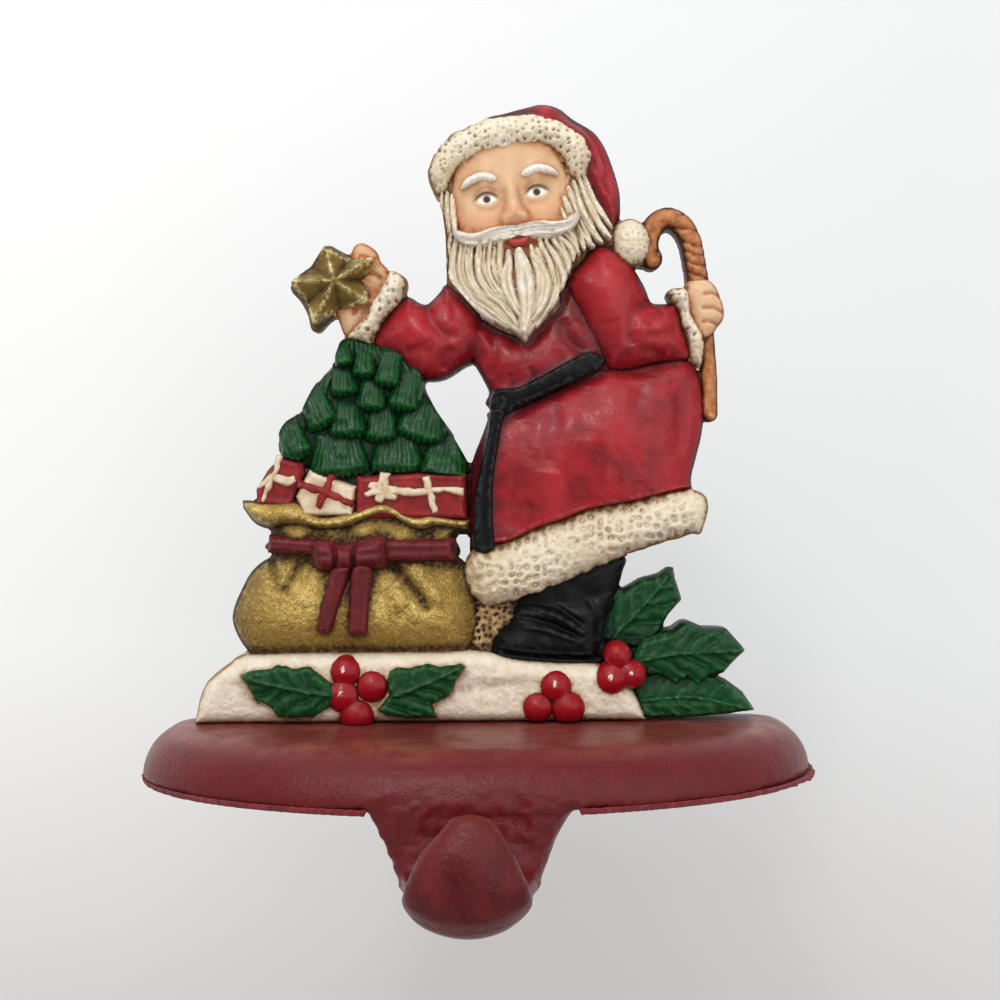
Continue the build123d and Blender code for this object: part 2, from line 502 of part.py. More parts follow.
with BuildPart() as head:
    cushion(HEAD, HEAD_CROWN)
    cushion(FACE, FACE_CROWN)
    cushion(BEARD, BEARD_CROWN)
    for x, z, half_width, half_length, lean, crown in FACE_FORMS:
        lobe(x, z, half_width, half_length, lean, crown)
    cushion(HAT, HAT_CROWN)
    bar(hat_band.wire(), (HAT_BAND_RADIUS, HAT_BAND_RADIUS), HAT_BAND_MIDDLE, BAND_STEPS)
    lobe(*POMPOM, POMPOM_RADIUS, POMPOM_RADIUS, 0, POMPOM_CROWN)

with BuildPart() as figure:
    with BuildSketch(DRAWING) as plate:
        outlines = [smoothed(points) for points in ROUND_OUTLINES]
        outlines += [squares(points) for points in STRAIGHT_OUTLINES]
        for outline in outlines:
            with BuildLine():
                Polyline(*grown(outline, PLATE_RIM), close=True)
            make_face()
    extrude(plate.sketch, amount=PLATE_DEPTH)
    for group in (ground, sack, tree, head, coat):
        add(group.part)
    split(bisect_by=Plane.XY.offset(SEAT), keep=Keep.TOP)
    with Locations(*[(x, y, SEAT) for x, y, z in SCREW_PLACES]):
        Cylinder(SCREW_DIAMETER / 2 + THREAD_CLEARANCE, THREAD_DEPTH, align=UPWARD, mode=Mode.SUBTRACT)
figure.part.label = "figure_relief"

os.makedirs("parts", exist_ok=True)
for piece in (base, felt, screws, figure):
    export_step(piece.part, f"parts/{piece.part.label}.step")
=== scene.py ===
"""Looks of a painted cast-iron stocking holder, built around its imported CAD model.

The relief figure is modelled form by form on the same drawing as the CAD part: 100 squares from the top of
the base to the top of the hat. Each form is a sheet of fine squares, cut to its outline, raised to a depth in
front of the flat back, and closed behind. The paint reads how recessed or raised each point is among its
neighbours.
"""
import math

import bmesh
import bpy
import numpy as np
from mathutils import Matrix, Vector


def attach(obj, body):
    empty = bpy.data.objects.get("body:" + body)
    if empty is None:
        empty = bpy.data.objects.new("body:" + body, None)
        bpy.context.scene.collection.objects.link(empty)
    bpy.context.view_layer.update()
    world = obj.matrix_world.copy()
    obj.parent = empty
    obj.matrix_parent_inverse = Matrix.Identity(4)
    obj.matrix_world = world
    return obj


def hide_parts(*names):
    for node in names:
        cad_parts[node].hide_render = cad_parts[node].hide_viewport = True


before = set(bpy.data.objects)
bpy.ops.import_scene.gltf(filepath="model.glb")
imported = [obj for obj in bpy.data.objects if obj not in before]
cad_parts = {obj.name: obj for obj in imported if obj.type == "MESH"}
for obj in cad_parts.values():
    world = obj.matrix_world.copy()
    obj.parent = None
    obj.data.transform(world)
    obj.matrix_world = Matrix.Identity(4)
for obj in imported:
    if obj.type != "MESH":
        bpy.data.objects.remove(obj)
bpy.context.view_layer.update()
scene = bpy.context.scene
scene.view_settings.view_transform = "Standard"

# Sizes of the drawing, in millimetres unless named otherwise
MM = 0.001                  # in metres
SQUARE = 1.4
SEAT = 12.0                 # top of the base, where the figure stands
BACK = 28.5                 # the figure's flat back; depths are measured forward from it
FOOT = 3.0                  # depth at which the walls of the forms end, inside the plate
PLATE_DEPTH = 5.0
STEP = 0.18                 # grid of the relief, in squares
LEFT, LOW = -46.6, -0.9     # first column and row of the grid, in squares
COLUMNS, ROWS = 514, 570
COLUMN_X = LEFT + STEP * np.arange(COLUMNS)
ROW_Z = LOW + STEP * np.arange(ROWS)


# Drawing helpers

def ramp(values, start, end):
    """0 up to the start, 1 from the end on, and even between them."""
    return np.clip((values - start) / (end - start), 0, 1)


def curve(points, steps=6, closed=True):
    """A smooth line through points of the drawing."""
    points = np.array(points, float)
    if closed:
        before, after, beyond = np.roll(points, 1, 0), np.roll(points, -1, 0), np.roll(points, -2, 0)
        start = points
    else:
        first = 2 * points[0] - points[1]
        last = 2 * points[-1] - points[-2]
        padded = np.vstack([first, points, last])
        before, start, after, beyond = padded[:-3], padded[1:-2], padded[2:-1], padded[3:]
    line = []
    for t in np.arange(steps) / steps:
        line.append(0.5 * (2 * start + (after - before) * t
                           + (2 * before - 5 * start + 4 * after - beyond) * t ** 2
                           + (3 * start - before - 3 * after + beyond) * t ** 3))
    line = np.stack(line, 1).reshape(-1, 2)
    return line if closed else np.vstack([line, points[-1]])


def oval(x, z, half_width, half_length, lean=0.0, points=16):
    """An oval outline; the lean turns its long axis clockwise from upright, in degrees."""
    angle = np.linspace(0, 2 * np.pi, points, endpoint=False)
    turn = math.radians(lean)
    across, along = half_width * np.cos(angle), half_length * np.sin(angle)
    return np.stack([x + across * math.cos(turn) + along * math.sin(turn),
                     z - across * math.sin(turn) + along * math.cos(turn)], 1)


def ribbon(points, half_width, steps=6):
    """The outline of a strap along a smooth line, with its half width at each point."""
    line = curve(points, steps, closed=False)
    widths = np.interp(np.linspace(0, 1, len(line)), np.linspace(0, 1, len(points)),
                       np.broadcast_to(half_width, len(points)))
    along = np.gradient(line, axis=0)
    across = np.stack([-along[:, 1], along[:, 0]], 1) / np.maximum(np.hypot(*along.T), 1e-6)[:, None]
    return np.vstack([line + across * widths[:, None], (line - across * widths[:, None])[::-1]])


def from_line(points, x, z):
    """Distance in squares from an open line, and the share of the line's run at the nearest place."""
    points = np.array(points, float)
    runs = np.hypot(*np.diff(points, axis=0).T)
    starts = np.concatenate([[0], np.cumsum(runs)])
    nearest = np.full(x.shape, 1e9)
    share = np.zeros(x.shape)
    for (ax, az), (bx, bz), run, start in zip(points[:-1], points[1:], runs, starts):
        dx, dz = bx - ax, bz - az
        t = np.clip(((x - ax) * dx + (z - az) * dz) / (run * run + 1e-9), 0, 1)
        gap = (x - ax - t * dx) ** 2 + (z - az - t * dz) ** 2
        closer = gap < nearest
        nearest = np.where(closer, gap, nearest)
        share = np.where(closer, (start + t * run) / starts[-1], share)
    return np.sqrt(nearest), share


def crease(x, z, points, width, steps=6):
    """A soft line from 1 on the line to 0 beside it, fading at its ends."""
    gap, share = from_line(curve(points, steps, closed=False), x, z)
    return np.exp(-(gap / width) ** 2) * np.clip(np.minimum(share, 1 - share) * 6, 0, 1) ** 0.5


def bulge(x, z, middle_x, middle_z, half_width, half_length, lean=0.0):
    """A soft round swelling, 1 at its middle."""
    turn = math.radians(lean)
    across = (x - middle_x) * math.cos(turn) - (z - middle_z) * math.sin(turn)
    along = (x - middle_x) * math.sin(turn) + (z - middle_z) * math.cos(turn)
    return np.exp(-(across / half_width) ** 2 - (along / half_length) ** 2)


def lumps(x, z, size, seed):
    """Smooth uneven values from -1 to 1, about the given number of squares across."""
    table = np.random.default_rng(seed).uniform(-1, 1, (97, 97))
    u, v = x / size + 400, z / size + 400
    i, j = np.floor(u).astype(int), np.floor(v).astype(int)
    fu, fv = u - i, v - j
    fu, fv = fu * fu * (3 - 2 * fu), fv * fv * (3 - 2 * fv)
    i, j = i % 96, j % 96
    low = table[j, i] * (1 - fu) + table[j, i + 1] * fu
    high = table[j + 1, i] * (1 - fu) + table[j + 1, i + 1] * fu
    return low * (1 - fv) + high * fv


def knobs(x, z, size, seed, loose):
    """Distance to the nearest and second nearest of scattered points, in point spacings."""
    table = np.random.default_rng(seed).uniform(0.5 - loose / 2, 0.5 + loose / 2, (96, 96, 2))
    u, v = x / size + 400, z / size + 400
    i, j = np.floor(u).astype(int), np.floor(v).astype(int)
    nearest = np.full(x.shape, 9.0)
    second = np.full(x.shape, 9.0)
    for di in (-1, 0, 1):
        for dj in (-1, 0, 1):
            place = table[(j + dj) % 96, (i + di) % 96]
            gap = np.hypot(u - i - di - place[..., 0], v - j - dj - place[..., 1])
            second = np.minimum(second, np.maximum(nearest, gap))
            nearest = np.minimum(nearest, gap)
    return nearest, second


def blurred(values, reach):
    """Values averaged over a reach in millimetres."""
    half = max(int(round(reach / (STEP * SQUARE))), 1)
    for axis in (0, 1, 0, 1):
        padding = [(0, 0), (0, 0)]
        padding[axis] = (half + 1, half)
        total = np.cumsum(np.pad(values, padding, mode="edge"), axis)
        count = values.shape[axis]
        head = np.take(total, range(2 * half + 1, 2 * half + 1 + count), axis)
        values = (head - np.take(total, range(count), axis)) / (2 * half + 1)
    return values


class Patch:
    """A window of the drawing in which one form is shaped."""

    def __init__(self, outline, margin=0.8, floor=True):
        outline = np.array(outline, float)
        low, high = outline.min(0) - margin, outline.max(0) + margin
        self.first_column = max(int((low[0] - LEFT) / STEP), 0)
        self.first_row = max(int((low[1] - LOW) / STEP), 0)
        columns = slice(self.first_column, min(int((high[0] - LEFT) / STEP) + 2, COLUMNS))
        rows = slice(self.first_row, min(int((high[1] - LOW) / STEP) + 2, ROWS))
        self.place = (rows, columns)
        self.x, self.z = np.meshgrid(COLUMN_X[columns], ROW_Z[rows])
        self.inside = self.signed_distance(outline)
        if floor:
            self.inside = np.minimum(self.inside, self.z * SQUARE)

    def signed_distance(self, outline):
        """Millimetres to the outline, positive inside."""
        nearest = np.full(self.x.shape, 1e9)
        odd = np.zeros(self.x.shape, bool)
        for (ax, az), (bx, bz) in zip(outline, np.roll(outline, -1, 0)):
            dx, dz = bx - ax, bz - az
            t = np.clip(((self.x - ax) * dx + (self.z - az) * dz) / (dx * dx + dz * dz + 1e-12), 0, 1)
            nearest = np.minimum(nearest, (self.x - ax - t * dx) ** 2 + (self.z - az - t * dz) ** 2)
            if dz:
                odd ^= ((az > self.z) != (bz > self.z)) & (self.x < ax + (self.z - az) * dx / dz)
        return np.where(odd, 1, -1) * np.sqrt(nearest) * SQUARE

    def dome(self, edge, crown, width):
        """Depth that rises from the edge in a round shoulder."""
        t = np.clip(self.inside / width, 0, 1)
        return edge + (crown - edge) * np.sqrt(1 - (1 - t) ** 2)

    def swell(self, edge, crown, width):
        """Depth that rises in a soft full dome, with no ridge along its middle."""
        cover = np.clip(self.inside, 0, width) / width
        cover = blurred(cover * (self.inside > 0), width * 0.35)
        cover = cover / max(cover.max(), 1e-6)
        shoulder = np.sqrt(1 - (1 - np.clip(self.inside / width, 0, 1)) ** 2)
        return edge + (crown - edge) * (0.55 * shoulder + 0.45 * np.sqrt(np.clip(cover, 0, 1)))

    def edge_fade(self, width):
        """1 along the outline, fading inwards over a width in millimetres."""
        return np.exp(-np.clip(self.inside, 0, 30) / width)


forms = []


def form(name, paint, patch, depth, foot=FOOT, **marks):
    """Notes one raised form: its paint, its window, its depth and any painted marks on it."""
    patch.name, patch.paint, patch.depth, patch.foot, patch.marks = name, paint, depth, foot, marks
    forms.append(patch)
    return patch


def fur(x, z, seed, size=1.15, curl=0.0):
    """Depth of cast curly fur: an uneven skin with small pits, or with rings where it is curled."""
    wander = 0.35 * size
    shift_x = x + wander * lumps(x, z, 1.6 * size, seed)
    shift_z = z + wander * lumps(x, z, 1.6 * size, seed + 1)
    nearest, second = knobs(shift_x, shift_z, size, seed, 0.6)
    strength = 0.75 + 0.45 * lumps(x, z, 2.2 * size, seed + 4)
    pits = np.exp(-((nearest - curl) / 0.23) ** 2)
    skin = 0.2 * lumps(x, z, 0.6, seed + 2) + 0.22 * lumps(x, z, 2.4 * size, seed + 3)
    return skin - 0.8 * strength * pits + 0.15 * np.clip((second - nearest) * 2, 0, 1)


def lay_locks(patch, depth, locks, strands=2.0):
    """Raises curved locks of hair on a form: line, half width in squares and crown depth in mm."""
    for index, (points, half_width, crown) in enumerate(locks):
        gap, share = from_line(curve(points, 5, closed=False), patch.x, patch.z)
        width = half_width * np.sqrt(np.clip(np.sin(np.pi * (0.06 + 0.88 * share)), 0, 1))
        across = gap / np.maximum(width, 0.05)
        body = np.sqrt(np.clip(1 - across ** 2, 0, 1))
        strand = np.cos(strands * np.pi * (across + 0.3 * lumps(patch.x, patch.z, 2.5, 150 + index)) + index)
        uneven = 0.27 * strand + 0.1 * lumps(patch.x, patch.z, 1.2, 170 + index)
        lock = crown - 1.5 + 1.5 * body + uneven * body
        depth = np.where((across < 1) & (lock > depth), lock, depth)
    return depth


def folded(patch, depth, folds):
    """Presses creases into a form, or raises folds on it: line, width in squares and depth in mm."""
    for points, width, amount in folds:
        depth = depth + amount * crease(patch.x, patch.z, points, width)
    return depth


# Snow mound
mound = Patch(curve([(-45.1, -0.9), (-45, 0.7), (-44.7, 2), (-44.3, 4), (-43.5, 6), (-42.5, 7.3), (-41, 8.6),
                     (-39.3, 9.8), (-37.5, 10.8), (-30, 11.2), (-15, 11.2), (0.5, 11.2), (6, 10), (12, 9.4),
                     (20, 9), (23.2, 7), (25.5, 4.5), (27.3, 0.6), (27.4, -0.9)], closed=False))
x, z = mound.x, mound.z
depth = mound.dome(9.5, 14.0, 3.2) + 0.3 * lumps(x, z, 5, 3)
depth = depth + 0.12 * lumps(x, z, 1.3, 4) + 0.09 * lumps(x, z, 0.5, 5)
form("snow_mound", "snow", mound, folded(mound, depth, [
    ([(-3, 5.4), (3, 6), (8, 6.6)], 0.9, -0.35), ([(-1, 7.8), (5, 7.4), (9, 8)], 0.8, 0.3)]))

# Sack body, neck and rolled rim
sack = Patch(curve([(-31.8, 27.6), (-33.2, 26.6), (-35, 25.5), (-36.5, 24), (-37.6, 22), (-39.1, 18.6),
                    (-39.4, 16), (-38.2, 13), (-36.4, 11), (-33, 10.3), (-25, 10.4), (-12, 10.4), (-4, 10.5),
                    (-0.8, 11.6), (0.2, 15), (0.3, 18), (-0.2, 22), (-1.2, 24.6), (-3.4, 26.6), (-10, 28.6),
                    (-18, 29), (-26, 28.6)]))
x, z = sack.x, sack.z
gather = ramp(z, 19, 28) ** 1.3
pleats = np.cos(0.8 * x + 2.2 * lumps(x, z, 6, 21))
depth = sack.swell(4.5, 13.0, 8.5) + 1.6 * bulge(x, z, -28.5, 16.6, 8.5, 5.5)
depth = depth + 2.0 * bulge(x, z, -9, 16, 8.5, 5.5)
depth = depth + 0.15 * gather * pleats - 1.1 * gather + 0.25 * lumps(x, z, 5, 20)
depth = folded(sack, depth, [
    ([(-15.2, 27), (-12.6, 24.4), (-9.8, 21.4), (-7.2, 17.8)], 1.0, -2.0),
    ([(-15, 26.8), (-11.6, 23.4)], 1.9, -0.8),
    ([(-10.4, 25.8), (-7.4, 22.2), (-5.4, 19)], 1.3, 0.9), ([(-13.6, 21.8), (-11, 18.6)], 1.2, 0.5),
    ([(-27.6, 26.8), (-28.8, 24.4), (-30.6, 20.8)], 0.9, -1.4),
    ([(-33.2, 26.8), (-32.3, 24.4), (-30.9, 21)], 0.9, -1.1),
    ([(-24.6, 25), (-26.4, 22), (-27.4, 19)], 1.2, 0.6), ([(-3.6, 26), (-2.8, 23), (-2, 20)], 1.0, -0.5)])
# Painted highlights on the sack's swellings; painted shade along its edges and towards its left
form("sack_body", "gold", sack, depth + 0.11 * lumps(x, z, 0.42, 22) + 0.06 * lumps(x, z, 0.95, 25),
     sheen=0.9 * bulge(x, z, -27.2, 19, 4.2, 5.5, -20) + bulge(x, z, -9.6, 15.8, 6.2, 3.8)
     + 0.8 * bulge(x, z, -14.4, 20, 2.2, 4),
     shade=sack.edge_fade(4.2) + 0.35 * np.exp(-((x + 38) / 5) ** 2))
neck = Patch(curve([(-33, 27.4), (-33.4, 29.3), (-33.2, 31), (-35.6, 33), (-36.6, 34.8), (-28, 34.2),
                    (-24, 32), (-15, 34.2), (-9, 32), (-1.2, 31.6), (-0.8, 30), (-3.2, 29.6), (-3.4, 26),
                    (-18, 25)]))
form("sack_neck", "gold", neck, neck.swell(4, 10.4, 5)
     + 0.5 * np.cos(1.1 * neck.x + 1.5 * lumps(neck.x, neck.z, 4, 23)))
rim_top = [(-37.5, 35.8), (-33, 35.5), (-28.8, 35.5), (-26, 33.7), (-24, 33), (-19, 34), (-14.5, 35.2),
           (-11, 33.4), (-9, 32.9), (-7, 33.2), (-3, 32.5), (-0.9, 32.3)]
rim_low = [(-0.9, 30.6), (-6, 31), (-8, 30.5), (-10, 30.7), (-12.5, 32.1), (-15, 32.7), (-18, 31.9),
           (-21, 30.8), (-25, 30.6), (-27, 31.1), (-31, 31.2), (-33, 31), (-35.6, 32), (-37.6, 34.6)]
rim = Patch(np.vstack([curve(rim_top, closed=False), curve(rim_low, closed=False)]))
under_rim, _ = from_line(curve(rim_low, closed=False), rim.x, rim.z)
depth = rim.swell(7.2, 12.8, 2.4) + 0.12 * lumps(rim.x, rim.z, 1.1, 24)
depth = depth - 1.8 * np.exp(-(under_rim / 1.1) ** 2)
over_rim, _ = from_line(curve(rim_top, closed=False), rim.x, rim.z)
# Painted shade under the rolled rim and a painted highlight along its top
form("sack_rim", "gold", rim, depth, shade=np.exp(-(under_rim / 1.3) ** 2),
     sheen=0.8 * np.exp(-((over_rim - 0.8) / 0.6) ** 2))

# Tied ribbon: bands, knot and tails
for label, line, width in (("left", [(-33.2, 28.8), (-29, 28.4), (-24.6, 28)], (1.5, 1.45, 1.5)),
                           ("right", [(-15.6, 27.6), (-9, 27.5), (-3.1, 27.6)], (1.9, 1.9, 1.9))):
    band = Patch(ribbon(line, width))
    form("ribbon_band_" + label, "ribbon", band,
         band.dome(8.5, 12.9, 1.7) - 0.18 * crease(band.x, band.z, line, 0.6))
tails = [("left", [(-19.6, 25), (-20.6, 21), (-21.6, 18), (-22.3, 15.4), (-23.2, 14.4), (-24.6, 14.4),
                   (-25.2, 15.4), (-24.6, 19), (-23.6, 22), (-22.6, 25)]),
         ("right", [(-16.1, 25), (-16.5, 20), (-16.9, 14.9), (-17.7, 14), (-19.5, 14), (-20.3, 14.9),
                    (-20.2, 19), (-19.5, 25)])]
for label, points in tails:
    tail = Patch(curve(points))
    fold = np.mean(points, 0) + [(0.9, 4.5), (-0.1, -4.5)]
    form("ribbon_tail_" + label, "ribbon", tail,
         tail.dome(11, 15.6, 1.8) - 0.2 * crease(tail.x, tail.z, fold, 0.45))
knot = Patch(curve([(-25.8, 29), (-23.5, 29.4), (-20.8, 28.7), (-18, 29.4), (-14.6, 29.9), (-13.7, 27.4),
                    (-14.4, 24.8), (-18, 24.4), (-20.5, 24.2), (-23, 24.2), (-25.2, 24.6), (-26, 26.8)]))
form("ribbon_knot", "ribbon", knot, folded(knot, knot.swell(10.5, 16.4, 2.6), [
    ([(-22.4, 29), (-22, 26.6), (-22.3, 24)], 0.45, -1.5),
    ([(-18.9, 29), (-19.2, 26.6), (-19, 24)], 0.45, -1.5),
    ([(-25.6, 27), (-24, 26.9), (-22.4, 26.8)], 0.5, -0.4),
    ([(-18.6, 27), (-16.6, 27.2), (-14.4, 27.4)], 0.5, -0.4)]))

# Presents behind the rim, with their own ribbons
presents = [
    ("left", "present_red", [(-31.3, 43), (-33.5, 40.5), (-35.3, 37.5), (-35.2, 35), (-29.3, 34.4),
                             (-27.3, 40), (-27.5, 41.8)]),
    ("middle", "present_cream", [(-26.6, 40.8), (-18.8, 38), (-19.4, 33), (-27.6, 33), (-28.9, 36.3)]),
    ("right", "present_red", [(-19, 39.6), (-9, 40.2), (-1.2, 39.8), (-1, 32.4), (-19.4, 32.6)])]
for label, paint, points in presents:
    gift = Patch(np.array(points))
    form("present_" + label, paint, gift, gift.dome(6.5, 10.6, 1.6) + 0.1 * lumps(gift.x, gift.z, 2, 31))
present_ribbons = [
    ("present_cream", [(-34, 35.4), (-33, 38), (-31.8, 40.4), (-31.2, 43)], (0.35, 0.6, 0.5, 0.6)),
    ("present_cream", [(-34.6, 37.6), (-32.4, 39.4), (-30.2, 38.8), (-28.6, 39.2)], (0.3, 0.7, 0.9, 0.5)),
    ("present_red", [(-28.6, 38.4), (-24, 37), (-19.4, 35)], (0.75, 0.7, 0.6)),
    ("present_red", [(-22.6, 40), (-24, 36.8), (-25.2, 34.4)], (0.6, 0.85, 0.6)),
    ("present_cream", [(-17.6, 36.4), (-14.6, 37.2), (-9, 36.9), (-5, 37.2), (-1.6, 36.9)],
     (0.4, 0.9, 0.65, 0.5, 0.75)),
    ("present_cream", [(-14.2, 40), (-14.8, 37), (-15.4, 35.2)], (0.8, 1.1, 0.6)),
    ("present_cream", [(-7.8, 39.4), (-7, 36.5), (-6.2, 33.4)], (0.7, 0.65, 0.6)),
    ("present_cream", [(-17, 38.2), (-15.6, 37.6), (-13.6, 36.4), (-12.4, 36)], (0.5, 1.0, 0.9, 0.4))]
for index, (paint, line, width) in enumerate(present_ribbons):
    strip = Patch(ribbon(line, width))
    strip.inside = strip.inside + 0.22 * lumps(strip.x, strip.z, 0.8, 34 + index)
    form("present_ribbon_%d" % index, paint, strip,
         strip.dome(9.9, 11.2, 0.8) + 0.15 * lumps(strip.x, strip.z, 0.9, 33))

# Tree of overlapping tufts, with its needles running down from the top
tree = Patch(curve([(-21, 62), (-22.2, 59), (-22.8, 57.7), (-25.2, 55), (-26.2, 53.5), (-26.9, 52),
                    (-27.5, 50.8), (-28.8, 49.5), (-30.3, 48.5), (-31.3, 47), (-31.8, 45.5), (-31.8, 44),
                    (-31.3, 43.2), (-30, 43), (-26.8, 40.6), (-24.6, 39.4), (-23, 38.8), (-19.5, 37.6),
                    (-16.5, 39), (-15, 40), (-9, 40.2), (-1.5, 39.5), (-0.8, 41), (-2.3, 44), (-3.2, 45.6),
                    (-3.6, 46.6), (-6, 50), (-7.8, 53.5), (-8.6, 56), (-10.7, 58.5), (-14.5, 60.6),
                    (-18, 61.6)], steps=3))
x, z = tree.x, tree.z
fan = np.arctan2(x + 18.5, 70 - z)
needles = np.abs(np.sin(44 * fan + 0.8 * lumps(x, z, 2.5, 26)))
depth = tree.dome(4.5, 7.8, 2.4) + 0.45 * needles + 0.3 * lumps(x, z, 2, 29)
# Each tuft: middle, half width, half length and lean in degrees
tufts = [(-21, 59.2, 1.7, 2.4, -8), (-17.6, 57.8, 2.2, 2.9, 0), (-13.6, 56.6, 2.5, 3.4, 10),
         (-20.9, 55, 2.5, 3.0, -6), (-16.4, 52.8, 2.8, 3.4, 4), (-10.9, 53, 3.1, 3.9, 10),
         (-25.2, 50.4, 3.0, 3.9, -24), (-20.4, 49, 3.4, 4.0, -3), (-14.8, 48.2, 2.9, 3.8, 2),
         (-8.2, 48.2, 4.5, 3.9, 16), (-29.2, 45.6, 2.7, 4.0, -18), (-21.8, 43.2, 5.2, 4.4, -4),
         (-12.4, 43.4, 4.6, 4.0, 0), (-4.8, 42.2, 4.2, 3.8, 10)]
for index, (middle_x, middle_z, half_width, half_length, lean) in enumerate(tufts):
    turn = math.radians(lean)
    across = ((x - middle_x) * math.cos(turn) - (z - middle_z) * math.sin(turn)) / half_width
    along = ((x - middle_x) * math.sin(turn) + (z - middle_z) * math.cos(turn)) / half_length
    spread = across / (0.86 - 0.16 * along)
    bend = across / (1.5 - 0.5 * along) + 0.035 * lumps(x, z, 1.3, 120 + index)
    needles = np.abs(np.sin(6.0 * half_width * bend + index)) ** 0.7
    side = np.clip(1 - np.abs(spread) ** 3, 0, 1) ** 0.5
    lip = np.clip((along + 1 - 0.09 * needles - 0.12 * spread ** 2) * 3, 0, 1) ** 0.5
    rise = np.clip((1.1 - along) / 1.6, 0, 1) ** 0.8
    body = side * lip * rise
    tuft = 7.0 + 4.2 * body + 0.24 * needles * np.clip(2 * body, 0, 1) + 0.35 * lumps(x, z, 1.4, 140 + index)
    depth = np.where((body > 0.03) & (tuft > depth), tuft, depth)
form("tree", "tree_green", tree, depth)

# Star: five roofed points on a thicker backing that fills the notches between them
star_middle = np.array((-22.1, 70.8))
star_tips = np.array([(-23.6, 76.8), (-15.5, 74.8), (-16.6, 67.4), (-25.8, 63.8), (-29.4, 70.7)])
star_notches = np.array([(-20.3, 74.4), (-17.7, 71.2), (-21.6, 66.6), (-26.8, 67.8), (-26.2, 73.6)])
backing = Patch(curve([(-24.2, 76.8), (-23.2, 77.2), (-22, 76.6), (-19.8, 75.4), (-17.4, 74.4), (-16.4, 71),
                       (-16.6, 68), (-18.6, 67), (-21.8, 66.2), (-23.8, 64.6), (-25.2, 63.2), (-26.4, 63.6),
                       (-27, 66), (-28.2, 68.2), (-29.6, 69.8), (-29.4, 71.2), (-27.2, 72.4), (-25.4, 73.6)]))
form("star_backing", "star_pale", backing,
     backing.dome(4.2, 6.9, 1.6) + 0.3 * lumps(backing.x, backing.z, 1.2, 27))
star_outline = np.stack([star_tips, star_notches], 1).reshape(-1, 2)
star = Patch(star_outline)
star.inside = blurred(star.inside, 0.5)
depth = np.full(star.x.shape, 6.0)
corners = list(zip(star_outline, (10.6, 6.9) * 5))
for (first, first_depth), (second, second_depth) in zip(corners, corners[1:] + corners[:1]):
    one, two = first - star_middle, second - star_middle
    area = one[0] * two[1] - one[1] * two[0]
    dx, dz = star.x - star_middle[0], star.z - star_middle[1]
    share_one = (dx * two[1] - dz * two[0]) / area
    share_two = (one[0] * dz - one[1] * dx) / area
    facet = 12.6 * (1 - share_one - share_two) + first_depth * share_one + second_depth * share_two
    depth = np.where((share_one >= -0.01) & (share_two >= -0.01), facet, depth)
depth = 0.6 * depth + 0.4 * blurred(depth, 0.5)
form("star", "star_gold", star, depth + 0.12 * lumps(star.x, star.z, 0.9, 28))

# Coat: chest, skirt and sleeves with their folds
chest = Patch(curve([(-3, 67), (1, 65), (8, 62), (12.6, 66.6), (15.6, 70.6), (19, 66), (22, 61), (22, 56),
                     (16, 54), (10, 52), (5, 50), (2, 51), (2.5, 53), (1.5, 55.3), (0.3, 57.5), (-1, 61)]))
x, z = chest.x, chest.z
depth = chest.swell(4.5, 9.6, 6) + 0.7 * bulge(x, z, 8, 58, 5, 3.5) + 0.1 * lumps(x, z, 1.2, 41)
form("coat_chest", "coat_red", chest, folded(chest, depth, [
    ([(2.5, 64), (3.4, 60), (2.6, 55.6)], 1.0, -0.8), ([(14, 64.6), (15.6, 61), (19, 58.6)], 1.1, -0.9),
    ([(9, 57), (9.6, 55.4), (9.4, 53.6)], 0.7, -0.5), ([(6, 56), (6.2, 54.4), (5.8, 53)], 0.6, -0.4)]))

hem_outline = curve([(-1.6, 25.2), (-0.9, 27.1), (0.4, 28), (3, 28.4), (6, 29), (10, 31), (14, 32.3),
                     (18, 33.8), (22, 34.6), (26, 35.3), (30, 36.2), (34.5, 37), (37.2, 36), (37.7, 34),
                     (36.9, 30.6), (35.4, 29.6), (30, 28.4), (25, 26.5), (20, 24.5), (15, 22.3), (8, 19.7),
                     (3, 18.5), (1, 18.7), (-0.6, 20.2), (-1.5, 22.6)])
skirt = Patch(curve([(2.4, 49.8), (6, 50), (10, 51.6), (14, 53.4), (18, 55.2), (21, 56.6), (25, 56.6),
                     (30, 57.6), (34.4, 58), (36.6, 55.4), (37.3, 50), (37, 46), (36, 42), (35.2, 38.3),
                     (36, 34), (34, 31), (24, 27.4), (12, 22.6), (2, 20), (-0.6, 23), (-0.8, 30), (-0.7, 36),
                     (-0.4, 41), (0.2, 43.3), (0.7, 44.5), (1.5, 46.5), (2.2, 48.5)]))
x, z = skirt.x, skirt.z
depth = skirt.swell(4.5, 12.6, 12) + 1.6 * bulge(x, z, 19, 44, 12, 9) + 0.1 * lumps(x, z, 1.5, 42)
depth = folded(skirt, depth + 0.25 * lumps(x, z, 6, 43), [
    ([(8.6, 48), (7.4, 42), (6.4, 35), (5.6, 29)], 1.7, -0.9),
    ([(13.4, 51), (12.4, 46), (11.6, 40)], 1.5, -0.7),
    ([(33, 55), (33.4, 49), (32.4, 42)], 1.6, -0.7), ([(18.6, 53.6), (17.8, 49), (17.6, 45)], 1.4, -0.5),
    ([(27, 54), (26.4, 50), (27, 46)], 1.5, -0.5)])
depth = depth - 3.0 * ramp(skirt.signed_distance(hem_outline), -0.6, 0.4)
# Painted shade on the skirt's left side and below the belt; painted highlights on its swellings, with lighter
# patches at random
form("coat_skirt", "coat_red", skirt, depth,
     shade=0.55 * bulge(x, z, 2, 36, 6, 18) + 0.4 * bulge(x, z, 14, 51.5, 12, 2.6, -66),
     sheen=0.6 * bulge(x, z, 13, 40, 2.2, 7, 6) + 0.5 * bulge(x, z, 33, 39, 3, 8)
     + 0.4 * bulge(x, z, 24, 47, 4, 5) + 0.5 * np.clip(lumps(x, z, 4.5, 47), 0, 1))

